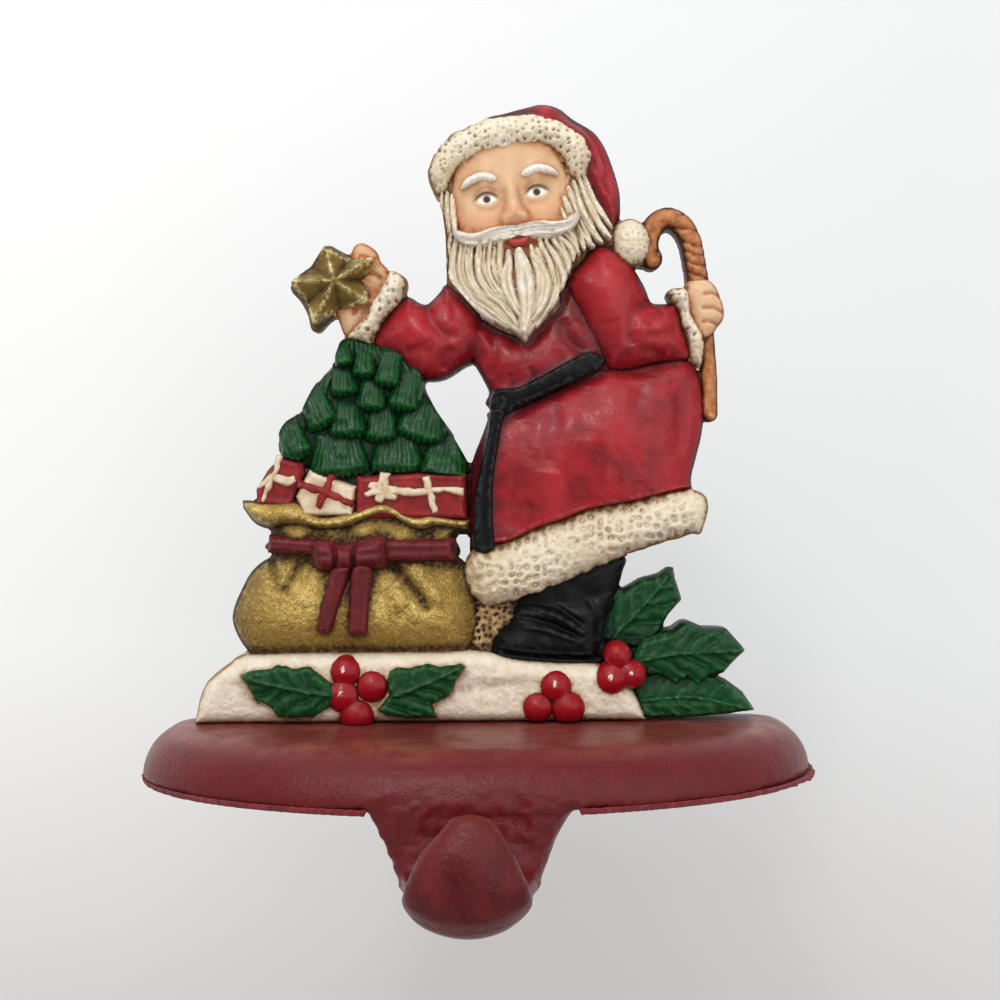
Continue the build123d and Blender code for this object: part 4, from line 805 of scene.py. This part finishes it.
def sampled(values, columns, rows):
    """Values of a grid at places between its points."""
    i = np.clip(np.floor(columns).astype(int), 0, values.shape[1] - 2)
    j = np.clip(np.floor(rows).astype(int), 0, values.shape[0] - 2)
    fi, fj = np.clip(columns - i, 0, 1), np.clip(rows - j, 0, 1)
    low = values[j, i] * (1 - fi) + values[j, i + 1] * fi
    high = values[j + 1, i] * (1 - fi) + values[j + 1, i + 1] * fi
    return low * (1 - fj) + high * fj


def cut_sheet(inside, step=1):
    """A sheet of squares cut to an outline; its points are columns and rows of the grid."""
    inside = inside[::step, ::step]
    rows, columns = inside.shape
    sheet = bmesh.new()
    bmesh.ops.create_grid(sheet, x_segments=columns - 1, y_segments=rows - 1, size=1.0)
    span = max(v.co.x for v in sheet.verts)
    half_wide, half_high = 0.5 * (columns - 1), 0.5 * (rows - 1)
    bmesh.ops.transform(sheet, verts=sheet.verts, matrix=Matrix.Translation((half_wide, half_high, 0))
                        @ Matrix.Diagonal((half_wide / span, half_high / span, 1, 1)))
    faces = list(sheet.faces)
    middles = np.array([f.calc_center_median()[:2] for f in faces])
    outside = sampled(inside, *middles.T) < 0
    bmesh.ops.delete(sheet, geom=[faces[i] for i in np.flatnonzero(outside)], context="FACES")
    rim = [v for v in sheet.verts if v.is_boundary]
    place = np.array([v.co[:2] for v in rim])
    slope_row, slope_column = np.gradient(inside)
    for _ in range(3):
        value = sampled(inside, *place.T)
        slope = np.stack([sampled(slope_column, *place.T), sampled(slope_row, *place.T)], 1)
        move = -slope * (value / np.maximum((slope ** 2).sum(1), 1e-3))[:, None]
        place += np.clip(move, -0.7, 0.7)
    for vert, (column, row) in zip(rim, place):
        vert.co.x, vert.co.y = column, row
    return sheet


def lift(geometry, height):
    """Sets the new points of an extrusion at a height."""
    for item in geometry:
        if isinstance(item, bmesh.types.BMVert):
            item.co.z = height


def finish_mesh(name, sheet, paint):
    """A mesh object from a bmesh, shaded smooth, with the paint on it."""
    mesh = bpy.data.meshes.new(name)
    sheet.to_mesh(mesh)
    sheet.free()
    piece = bpy.data.objects.new(name, mesh)
    scene.collection.objects.link(piece)
    mesh.materials.append(paints[paint])
    mesh.shade_smooth()
    return piece


def write_marks(mesh, **marks):
    """Writes values for the paint on each vertex."""
    for mark, values in marks.items():
        mesh.attributes.new(mark, "FLOAT", "POINT").data.foreach_set("value", np.asarray(values, np.float32))


def raise_form(patch):
    """Cuts the form's sheet, closes it behind and raises it to its depth."""
    sheet = cut_sheet(patch.inside)
    walls = bmesh.ops.extrude_edge_only(sheet, edges=[e for e in sheet.edges if e.is_boundary])
    lift(walls["geom"], -1)
    bmesh.ops.holes_fill(sheet, edges=[e for e in sheet.edges if e.is_boundary], sides=0)
    bmesh.ops.recalc_face_normals(sheet, faces=sheet.faces)
    piece = finish_mesh(patch.name, sheet, patch.paint)
    mesh = piece.data
    flat = np.empty(len(mesh.vertices) * 3)
    mesh.vertices.foreach_get("co", flat)
    flat = flat.reshape(-1, 3)
    columns, rows, behind = flat[:, 0], flat[:, 1], flat[:, 2] < -0.5
    depth = np.where(behind, patch.foot, sampled(patch.depth, columns, rows))
    x = LEFT + STEP * (patch.first_column + columns)
    z = LOW + STEP * (patch.first_row + rows)
    spot = np.stack([x * SQUARE, BACK - depth, SEAT + z * SQUARE], 1) * MM
    mesh.vertices.foreach_set("co", spot.ravel())
    mesh.update()
    recess = sum(weight * np.clip((level[patch.place] - patch.depth) / fall, 0, 1)
                 for level, weight, fall in ((broad, 0.75, 1.8), (close, 0.6, 0.22), (wide, 0.4, 3.0)))
    crest = np.clip((patch.depth - close[patch.place]) / 0.25, 0, 1)
    rim = patch.edge_fade(0.6) * silhouette[patch.place]
    marks = dict(patch.marks, recess=np.clip(recess, 0, 1), crest=crest, rim=rim)
    for mark, values in marks.items():
        on_wall = WALL_RECESS if mark == "recess" else 0.0
        write_marks(mesh, **{mark: np.where(behind, on_wall, sampled(values, columns, rows))})
    mesh.set_sharp_from_angle(angle=math.radians(62))
    return piece


# Node helpers

def nodes_of(tree):
    """Clears a node tree and returns a short way to add nodes and join them."""
    tree.nodes.clear()

    def add(kind, inputs=None, **settings):
        node = tree.nodes.new(kind)
        for name, value in settings.items():
            setattr(node, name, value)
        for name, value in (inputs or {}).items():
            socket = node.inputs[name]
            if isinstance(value, bpy.types.NodeSocket):
                tree.links.new(value, socket)
            else:
                socket.default_value = value
        return node

    return add


def srgb(red, green, blue):
    """A colour as it is read off a screen, 0 to 255."""
    shares = (channel / 255 for channel in (red, green, blue))
    return tuple(((c + 0.055) / 1.055) ** 2.4 if c > 0.04045 else c / 12.92 for c in shares) + (1.0,)


def group(name, inputs, outputs):
    """An empty shader group with named sockets."""
    tree = bpy.data.node_groups.new(name, "ShaderNodeTree")
    for label, kind, value in inputs:
        socket = tree.interface.new_socket(label, in_out="INPUT", socket_type=kind)
        socket.default_value = value
    for label, kind in outputs:
        tree.interface.new_socket(label, in_out="OUTPUT", socket_type=kind)
    return tree


COLOUR, VALUE, VECTOR = "NodeSocketColor", "NodeSocketFloat", "NodeSocketVector"
WHITE = (1.0, 1.0, 1.0, 1.0)


def mixed(add, factor, first, second):
    """A colour mix; its sockets go by number because three kinds share the same names."""
    return add("ShaderNodeMix", {0: factor, 6: first, 7: second}, data_type="RGBA").outputs[2]


def maths(add, operation, first, second, clamp=False):
    """The sum or the product of two values."""
    return add("ShaderNodeMath", {0: first, 1: second}, operation=operation, use_clamp=clamp).outputs[0]


def spread(add, value, low=0.0, high=1.0, to_low=0.0, to_high=1.0):
    """Takes one range of values to another."""
    return add("ShaderNodeMapRange", {"Value": value, "From Min": low, "From Max": high, "To Min": to_low,
                                      "To Max": to_high}).outputs["Result"]


def noise(add, where, scale, detail, rough):
    """Cloudy values from 0 to 1."""
    return add("ShaderNodeTexNoise", {"Vector": where, "Scale": scale, "Detail": detail,
                                      "Roughness": rough}).outputs["Fac"]


def cells(add, where, scale):
    """The distance to the nearest of scattered points."""
    return add("ShaderNodeTexVoronoi", {"Vector": where, "Scale": scale}, feature="F1").outputs["Distance"]


def bumped(add, height, strength, distance):
    """The normals of a skin with bumps of a height in millimetres."""
    bump = add("ShaderNodeBump", {"Height": height, "Strength": strength, "Distance": distance * MM})
    return bump.outputs["Normal"]


# Antique wash: dark paint settles in the recesses, a lighter dry brush catches the high points
wash_group = group("antique_wash", [("Where", VECTOR, (0, 0, 0)), ("Paint", COLOUR, WHITE),
                                    ("Uneven paint", COLOUR, WHITE), ("Wash", COLOUR, WHITE),
                                    ("Dry brush", COLOUR, WHITE), ("Recess", VALUE, 0.0),
                                    ("Crest", VALUE, 0.0), ("Rim", VALUE, 0.0), ("Wash amount", VALUE, 0.8),
                                    ("Brush amount", VALUE, 0.3), ("Rim amount", VALUE, 0.5),
                                    ("Patch size", VALUE, 90.0)],
                   [("Colour", COLOUR), ("Dull", VALUE), ("Dark", VALUE)])
add = nodes_of(wash_group)
given = add("NodeGroupInput").outputs
patches = noise(add, given["Where"], given["Patch size"], 4.0, 0.6)
specks = noise(add, given["Where"], 900.0, 3.0, 0.6)
uneven = spread(add, patches, 0.35, 0.68)
body = mixed(add, uneven, given["Paint"], given["Uneven paint"])
scatter = spread(add, specks, 0.3, 0.7, 0.55, 1.35)
deep = maths(add, "MULTIPLY", given["Recess"], given["Wash amount"])
edge = maths(add, "MULTIPLY", given["Rim"], given["Rim amount"])
dark = maths(add, "MULTIPLY", maths(add, "ADD", deep, edge), scatter, clamp=True)
washed = mixed(add, dark, body, given["Wash"])
lifted = maths(add, "MULTIPLY", given["Crest"], spread(add, specks, 0.42, 0.62))
lifted = maths(add, "MULTIPLY", lifted, given["Brush amount"], clamp=True)
brushed = mixed(add, lifted, washed, given["Dry brush"])
dull = maths(add, "ADD", dark, maths(add, "MULTIPLY", uneven, 0.35), clamp=True)
add("NodeGroupOutput", {"Colour": brushed, "Dull": dull, "Dark": dark})

# Cast surface: the fine pitting and swelling of sand-cast iron under paint
cast_group = group("cast_surface", [("Where", VECTOR, (0, 0, 0)), ("Grain", VALUE, 700.0)],
                   [("Height", VALUE)])
add = nodes_of(cast_group)
given = add("NodeGroupInput").outputs
grain = noise(add, given["Where"], given["Grain"], 3.0, 0.55)
swell = noise(add, given["Where"], 120.0, 2.0, 0.5)
pits = spread(add, cells(add, given["Where"], given["Grain"]), 0.05, 0.3, -0.4, 0.0)
add("NodeGroupOutput", {"Height": maths(add, "ADD", maths(add, "ADD", grain, swell), pits)})


def start_paint(name):
    """A new material, a way to add nodes to it, and the place of each point on its piece."""
    material = bpy.data.materials.new(name)
    material.use_nodes = True
    add = nodes_of(material.node_tree)
    return material, add, add("ShaderNodeTexCoord").outputs["Object"]


def finish_paint(add, inputs):
    """Joins a material's nodes and values to its shader."""
    add("ShaderNodeOutputMaterial", {"Surface": add("ShaderNodeBsdfPrincipled", inputs).outputs["BSDF"]})


def cast_paint(name, paint, uneven, wash, brush, rough=(0.45, 0.65), wash_amount=0.8, brush_amount=0.3,
               rim_amount=0.4, patch_size=260.0, grain=700.0, bump=0.3, metal=0.0, coat=0.0, shine=0.3,
               under=(), over=()):
    """Antiqued paint: colours 0 to 255, roughness from clean to washed, marks under or over the wash."""
    material, add, where = start_paint(name)

    def read(mark):
        return add("ShaderNodeAttribute", attribute_name=mark).outputs["Fac"]

    colour = srgb(*paint)
    for mark, tint in under:
        colour = mixed(add, read(mark), colour, srgb(*tint))
    washed = add("ShaderNodeGroup", {
        "Where": where, "Paint": colour, "Uneven paint": srgb(*uneven), "Wash": srgb(*wash),
        "Dry brush": srgb(*brush), "Recess": read("recess"), "Crest": read("crest"), "Rim": read("rim"),
        "Wash amount": wash_amount, "Brush amount": brush_amount, "Rim amount": rim_amount,
        "Patch size": patch_size}, node_tree=wash_group)
    colour = washed.outputs["Colour"]
    for mark, tint in over:
        colour = mixed(add, read(mark), colour, srgb(*tint))
    cast = add("ShaderNodeGroup", {"Where": where, "Grain": grain}, node_tree=cast_group)
    dull = spread(add, washed.outputs["Dull"], to_low=rough[0], to_high=rough[1])
    uplift = bumped(add, cast.outputs["Height"], bump, 0.4)
    inputs = {"Base Color": colour, "Roughness": dull, "Normal": uplift, "Specular IOR Level": shine,
              "Coat Weight": coat, "Coat Roughness": 0.15}
    if metal:
        inputs["Metallic"] = spread(add, washed.outputs["Dark"], to_low=metal, to_high=0.1)
    finish_paint(add, inputs)
    return material


paints = {
    # Coat red, with painted highlights and painted shade mixed in under the wash
    "coat_red": cast_paint("coat_red_paint", (112, 7, 15), (164, 22, 34), (52, 11, 17), (212, 92, 98),
                           wash_amount=0.8, rim_amount=0.45, brush_amount=0.4, rough=(0.25, 0.5),
                           patch_size=170.0, shine=0.34,
                           under=(("sheen", (190, 42, 50)), ("shade", (84, 7, 14)))),
    "fur": cast_paint("fur_cream_paint", (240, 230, 210), (228, 212, 182), (134, 98, 56), (246, 239, 226),
                      wash_amount=1.0, rim_amount=0.4, brush_amount=0.5, rough=(0.5, 0.7),
                      under=(("shade", (190, 160, 114)),)),
    "snow": cast_paint("snow_cream_paint", (236, 225, 207), (222, 205, 178), (150, 108, 66), (242, 234, 220),
                       wash_amount=0.85, rim_amount=0.35, brush_amount=0.35, rough=(0.52, 0.7),
                       patch_size=420.0, grain=1300.0, bump=0.5),
    # Gold, with painted highlights and painted shade mixed in under the wash
    "gold": cast_paint("gold_paint", (184, 152, 78), (160, 128, 60), (54, 34, 16), (240, 218, 148),
                       wash_amount=0.95, rim_amount=0.5, brush_amount=0.8, rough=(0.36, 0.58), metal=0.5,
                       patch_size=320.0, grain=1700.0, bump=1.0,
                       under=(("sheen", (222, 190, 108)), ("shade", (112, 82, 38)))),
    "star_gold": cast_paint("star_gold_paint", (138, 112, 48), (112, 88, 36), (58, 40, 18), (232, 214, 158),
                            wash_amount=1.0, rim_amount=0.2, brush_amount=0.9, rough=(0.4, 0.6), metal=0.4,
                            grain=1300.0, bump=0.45),
    "star_pale": cast_paint("star_backing_paint", (170, 152, 96), (140, 120, 76), (88, 70, 48),
                            (226, 214, 176), wash_amount=0.8, rim_amount=0.5, brush_amount=0.6,
                            patch_size=500.0),
    "ribbon": cast_paint("ribbon_burgundy_paint", (88, 13, 18), (104, 20, 26), (38, 10, 14), (160, 76, 84),
                         wash_amount=0.9, rim_amount=0.5, brush_amount=0.3),
    "present_red": cast_paint("present_red_paint", (118, 14, 18), (158, 30, 34), (48, 14, 16), (196, 100, 96),
                              wash_amount=0.9, rim_amount=0.5, brush_amount=0.3, patch_size=300.0),
    "present_cream": cast_paint("present_cream_paint", (232, 216, 188), (208, 180, 140), (136, 92, 54),
                                (244, 236, 220), wash_amount=0.9, rim_amount=0.45, brush_amount=0.3,
                                patch_size=420.0),
    "tree_green": cast_paint("tree_green_paint", (4, 54, 20), (8, 68, 26), (5, 19, 10), (60, 150, 70),
                             wash_amount=0.95, rim_amount=0.3, brush_amount=0.3, rough=(0.22, 0.6),
                             shine=0.18, coat=0.15),
    "leaf_green": cast_paint("leaf_green_paint", (6, 56, 24), (16, 72, 34), (4, 22, 11), (96, 146, 88),
                             wash_amount=0.75, rim_amount=0.45, brush_amount=0.32, rough=(0.26, 0.5),
                             shine=0.18, patch_size=420.0),
    "black": cast_paint("black_paint", (9, 9, 10), (14, 15, 17), (5, 5, 6), (84, 88, 92), wash_amount=0.8,
                        rim_amount=0.3, brush_amount=0.28, rough=(0.28, 0.5), shine=0.14),
    "rock": cast_paint("rock_paint", (190, 156, 104), (136, 98, 54), (48, 30, 16), (236, 218, 182),
                       wash_amount=1.0, rim_amount=0.5, brush_amount=0.4, rough=(0.5, 0.7), patch_size=600.0),
    # Beard cream, with a painted highlight mixed in under the wash
    "beard": cast_paint("beard_cream_paint", (228, 211, 181), (216, 195, 160), (120, 84, 44), (250, 246, 236),
                        wash_amount=1.0, rim_amount=0.4, brush_amount=0.8, rough=(0.46, 0.66),
                        under=(("sheen", (246, 240, 228)),)),
    "white_hair": cast_paint("white_hair_paint", (242, 236, 224), (236, 226, 210), (166, 130, 92),
                             (250, 248, 244), wash_amount=0.65, rim_amount=0.3, brush_amount=0.5,
                             rough=(0.46, 0.66)),
    "lip": cast_paint("lip_paint", (176, 60, 52), (186, 74, 62), (110, 40, 30), (206, 110, 96),
                      wash_amount=0.6, rim_amount=0.3),
    "skin": cast_paint("skin_paint", (226, 188, 150), (218, 174, 130), (170, 98, 50), (252, 222, 188),
                       wash_amount=0.85, rim_amount=0.45, brush_amount=0.35, rough=(0.42, 0.6),
                       under=(("shade", (160, 98, 58)), ("blush", (222, 130, 96))),
                       over=(("white", (244, 238, 228)), ("dark", (44, 26, 18)))),
    "cane": cast_paint("cane_brown_paint", (198, 126, 74), (146, 80, 40), (70, 36, 16), (232, 180, 134),
                       wash_amount=1.0, rim_amount=0.5, brush_amount=0.5, patch_size=480.0),
    # Berry red; its white mark is both flaked-off paint and a painted glint
    "berry": cast_paint("berry_red_paint", (142, 4, 18), (158, 10, 26), (50, 6, 12), (206, 84, 88),
                        wash_amount=0.8, rim_amount=0.7, brush_amount=0.1, rough=(0.2, 0.5), coat=0.2,
                        bump=0.12, shine=0.18,
                        over=(("white", (236, 214, 206)),)),
    # The back plate's near-black is the back's own paint; where it shows in the narrow gaps between forms it
    # also stands for painted shade
    "plate": cast_paint("back_paint", (36, 26, 25), (46, 34, 32), (22, 16, 15), (78, 64, 60), wash_amount=0.3,
                        rim_amount=0.2, rough=(0.5, 0.7)),
    # Base burgundy; its top mark is a painted brownish reflection, its tip mark a darker red
    "base": cast_paint("base_burgundy_paint", (99, 25, 27), (106, 30, 32), (74, 16, 20), (130, 54, 56),
                       wash_amount=0.35, brush_amount=0.3, rim_amount=0.0, rough=(0.3, 0.5), patch_size=160.0,
                       grain=900.0, bump=0.5, shine=0.24,
                       under=(("top", (140, 78, 67)), ("tip", (76, 9, 11)))),
}


def felt_cloth():
    """Pressed red felt: matted fibres, with no weave."""
    material, add, where = start_paint("felt_red_cloth")
    fibres = noise(add, where, 2600.0, 5.0, 0.7)
    blotch = noise(add, where, 240.0, 3.0, 0.6)
    share = spread(add, maths(add, "MULTIPLY", fibres, blotch), 0.15, 0.4)
    finish_paint(add, {"Base Color": mixed(add, share, srgb(104, 8, 18), srgb(160, 18, 32)),
                       "Roughness": 0.95, "Sheen Weight": 0.15, "Sheen Roughness": 0.6,
                       "Normal": bumped(add, fibres, 0.8, 0.5)})
    return material


def plated_steel():
    """Zinc-plated screw steel: spangled grey with fine scratches."""
    material, add, where = start_paint("screw_plated_steel")
    scratch = noise(add, where, 1800.0, 4.0, 0.6)
    spangle = cells(add, where, 700.0)
    finish_paint(add, {"Base Color": mixed(add, spangle, srgb(176, 178, 180), srgb(138, 140, 144)),
                       "Roughness": spread(add, scratch, to_low=0.25, to_high=0.5), "Metallic": 1.0,
                       "Normal": bumped(add, scratch, 0.2, 0.2)})
    return material


paints["felt"] = felt_cloth()
paints["steel"] = plated_steel()

# The relief's forms, on a plate of the figure's whole outline
figure_pieces = [raise_form(patch) for patch in forms]
whole = np.full((ROWS, COLUMNS), -9.0)
for patch in forms:
    window = whole[patch.place]
    np.maximum(window, patch.inside, out=window)
filled = ramp(blurred(cover, SLIT), 0.58, 0.78) * ~open_gap
whole = np.minimum(whole - 0.15 + 0.7 * filled, ROW_Z[:, None] * SQUARE)
PLATE_STEP = 2              # the plate's outline takes every second point of the grid
sheet = cut_sheet(whole, PLATE_STEP)
raised = bmesh.ops.extrude_face_region(sheet, geom=list(sheet.faces))
lift(raised["geom"], 1)
bmesh.ops.recalc_face_normals(sheet, faces=sheet.faces)
for vert in sheet.verts:
    x, z = LEFT + PLATE_STEP * STEP * vert.co.x, LOW + PLATE_STEP * STEP * vert.co.y
    front = BACK - (PLATE_DEPTH if vert.co.z > 0.5 else 0)
    vert.co = Vector((x * SQUARE, front, SEAT + z * SQUARE)) * MM
bmesh.ops.recalc_face_normals(sheet, faces=sheet.faces)
back_plate = finish_mesh("back_plate", sheet, "plate")
back_plate.data.set_sharp_from_angle(angle=math.radians(50))
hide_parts("figure_relief")
for piece in figure_pieces + [back_plate]:
    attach(piece, "root")


def cad_copy(node):
    """A merged copy of a CAD node's mesh, as a bmesh."""
    copy = bmesh.new()
    copy.from_mesh(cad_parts[node].data)
    bmesh.ops.remove_doubles(copy, verts=copy.verts, dist=1e-7)
    return copy


def even_out(piece, size):
    """Gives a piece an even skin of squares of a size in millimetres."""
    remesh = piece.modifiers.new("even_skin", "REMESH")
    remesh.mode = "VOXEL"
    remesh.voxel_size = size * MM


def applied(piece):
    """Makes a piece's modifiers part of its mesh."""
    shown = piece.evaluated_get(bpy.context.evaluated_depsgraph_get())
    mesh = bpy.data.meshes.new_from_object(shown)
    piece.modifiers.clear()
    piece.data = mesh
    return mesh


def vertex_places(mesh):
    """Places and normals of a mesh's vertices, in millimetres."""
    place, normal = np.empty(len(mesh.vertices) * 3), np.empty(len(mesh.vertices) * 3)
    mesh.vertices.foreach_get("co", place)
    mesh.vertices.foreach_get("normal", normal)
    return place.reshape(-1, 3) / MM, normal.reshape(-1, 3)


# Base casting: the hook flows into the base, with the wrinkled skin of the casting round the tongue
base = finish_mesh("base_casting", cad_copy("base_with_hook"), "base")
even_out(base, 0.75)
soften = base.modifiers.new("soft_joins", "SMOOTH")
soften.factor = 0.5
soften.iterations = 12
mesh = applied(base)
place, normal = vertex_places(mesh)
x, y, z = place.T.copy()
# The hook hangs a little to the left, with its tongue wider on that side and its tip rounder
HOOK_SHIFT, TONGUE_SHIFT = -0.7, -1.3
TIP_WIDENING, TIP_MIDDLE = 0.05, -9.5
TIP_LIFT = 1.6              # of the tip's lower corners
hanging = ramp(z, 2, -1) * ramp(y, -22, -26)
front = ramp(y, -29, -37)
left_side = (1 - front) * ramp(x, 0, -10) * ramp(z, -13, -8)
place[:, 0] += hanging * (HOOK_SHIFT + TONGUE_SHIFT * left_side)
place[:, 0] += TIP_WIDENING * x * front * np.exp(-((z - TIP_MIDDLE) / 6) ** 2)
place[:, 2] += TIP_LIFT * ramp(z, -6, -15) * ramp(y, -26, -34) * np.clip(np.abs(x) / 11, 0, 1.2) ** 2.2
# Away from the hook the lower edge is drawn down sharp, onto the felt
FELT_TOP, SILL_TOP = 1.0, 2.8
sill = np.maximum(ramp(np.abs(x), 24, 28), ramp(y, -22, -18)) * (z < SILL_TOP)
reach = SILL_TOP - FELT_TOP
place[:, 2] += sill * (FELT_TOP + np.clip(z - FELT_TOP, 0, reach) ** 2 / reach - z)
x, y, z = place.T
tongue = ramp(z, 7, 1) * ramp(z, -17, -14) * ramp(np.abs(x), 27, 21) * ramp(y, -31, -29) * ramp(y, -24, -26)
bent = x / 1.6 + 0.5 * lumps(x, z, 3, 201)
wrinkle = 0.25 - 0.55 * np.abs(lumps(bent, z, 1.7, 202)) + 0.3 * lumps(x, z, 1.3, 203)
skin = 0.12 * lumps(x, z + 0.7 * y, 9, 204) + 0.05 * lumps(x + 0.5 * y, z, 2.5, 205)
place = place + normal * (tongue * wrinkle + skin * (normal[:, 2] > -0.9))[:, None]
mesh.vertices.foreach_set("co", (place * MM).ravel())
mesh.update()
# The base's upward faces, short of the front edge, get a painted brownish reflection
wear_and_painted_reflection = 0.85 * ramp(normal[:, 2], 0.75, 0.95) * np.clip(0.75 + 0.5 * lumps(x, y, 14, 207), 0, 1)
write_marks(mesh, top=wear_and_painted_reflection * ramp(y, -30, -26), tip=ramp(y, -34, -40) * ramp(z, 3, -3),
            recess=np.clip(-tongue * wrinkle / 0.5, 0, 1), crest=np.clip(tongue * wrinkle / 0.6, 0, 1))
mesh.shade_smooth()
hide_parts("base_with_hook")
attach(base, "root")

# Felt pad, with a fuzzy uneven edge
felt = finish_mesh("felt_sheet", cad_copy("felt_pad"), "felt")
even_out(felt, 0.5)
mesh = applied(felt)
place, normal = vertex_places(mesh)
x, y, z = place.T
edge = np.clip(np.hypot(normal[:, 0], normal[:, 1]) * 1.6, 0, 1) * (y < BACK - 2)
fuzz = 0.1 + 0.25 * lumps(x + y, z, 2.2, 211) + 0.25 * lumps(x - y, z, 0.6, 212) - 0.4 * ramp(x, -60, -70)
fuzz = fuzz + 1.2 * np.exp(-((x - 71) / 4) ** 2)      # it sticks out most at the right end
place = place + normal * (edge * fuzz)[:, None]
wear_and_painted_reflection = edge * np.clip(0.5 + 0.25 * lumps(x + y, 0 * x, 1.5, 213), 0, 1)
place[:, 2] = np.clip(place[:, 2], wear_and_painted_reflection, 1.0) + 0.4 * edge * (z > 0.6)
mesh.vertices.foreach_set("co", (place * MM).ravel())
mesh.update()
mesh.shade_smooth()
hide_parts("felt_pad")
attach(felt, "root")

# The screws keep their CAD mesh
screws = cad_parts["fixing_screws"]
screws.data.materials.clear()
screws.data.materials.append(paints["steel"])

# Camera
CAMERA_AWAY = 350           # from the figure's back
camera = bpy.data.objects.new("camera", bpy.data.cameras.new("camera"))
scene.collection.objects.link(camera)
camera.data.lens = 54.4
camera.data.sensor_width = 36.0
camera.location = Vector((5.8, BACK - CAMERA_AWAY, 61.7)) * MM
camera.rotation_euler = (math.radians(90), math.radians(0.45), 0)
camera.data.clip_start = 0.01
scene.camera = camera

# Backdrop and soft light
PAPER_AWAY = 120            # behind the figure's back
paper = bpy.data.materials.new("backdrop_paper")
paper.use_nodes = True
add = nodes_of(paper.node_tree)
# The paper is painted with shade: it darkens towards the right, and a painted shadow darkens it low down,
# below the base
spot = add("ShaderNodeSeparateXYZ", {"Vector": add("ShaderNodeTexCoord").outputs["Object"]})
painted_shade_rightward = spread(add, spot.outputs["X"], -0.12, 0.14)
painted_shadow_downward = spread(add, spot.outputs["Z"], 0.02, -0.09)
upper = mixed(add, painted_shade_rightward, srgb(254, 254, 253), srgb(238, 240, 240))
matte = add("ShaderNodeBsdfDiffuse", {"Color": mixed(add, painted_shadow_downward, upper, srgb(226, 222, 221))})
clear = add("ShaderNodeBsdfTransparent")
facing = add("ShaderNodeNewGeometry")
shown = add("ShaderNodeMixShader", {0: facing.outputs["Backfacing"], 1: matte.outputs[0],
                                    2: clear.outputs[0]})
add("ShaderNodeOutputMaterial", {"Surface": shown.outputs[0]})
sheet = bmesh.new()
bmesh.ops.create_grid(sheet, x_segments=1, y_segments=1, size=1.2)
bmesh.ops.rotate(sheet, verts=sheet.verts, matrix=Matrix.Rotation(math.radians(90), 3, "X"))
bmesh.ops.translate(sheet, verts=sheet.verts, vec=(0, (BACK + PAPER_AWAY) * MM, 0.06))
mesh = bpy.data.meshes.new("backdrop")
sheet.to_mesh(mesh)
sheet.free()
backdrop = bpy.data.objects.new("backdrop", mesh)
scene.collection.objects.link(backdrop)
mesh.materials.append(paper)

world = bpy.data.worlds.new("soft_room")
scene.world = world
world.use_nodes = True
world.node_tree.nodes["Background"].inputs["Color"].default_value = (1, 1, 1, 1)
world.node_tree.nodes["Background"].inputs["Strength"].default_value = 0.52
LIT = Vector((0, 0, 0.06))  # where the lamps point, in metres
for name, place, size, power in (("window", (-0.3, -0.8, 0.9), 1.4, 8.6),
                                 ("fill", (0.7, -0.9, 0.3), 1.2, 4.0),
                                 ("bulb", (-0.25, -0.75, 0.75), 0.14, 1.3)):
    lamp = bpy.data.objects.new(name, bpy.data.lights.new(name, "AREA"))
    lamp.data.size = size
    lamp.data.energy = power
    lamp.location = place
    lamp.rotation_euler = (LIT - Vector(place)).to_track_quat("-Z", "Y").to_euler()
    scene.collection.objects.link(lamp)
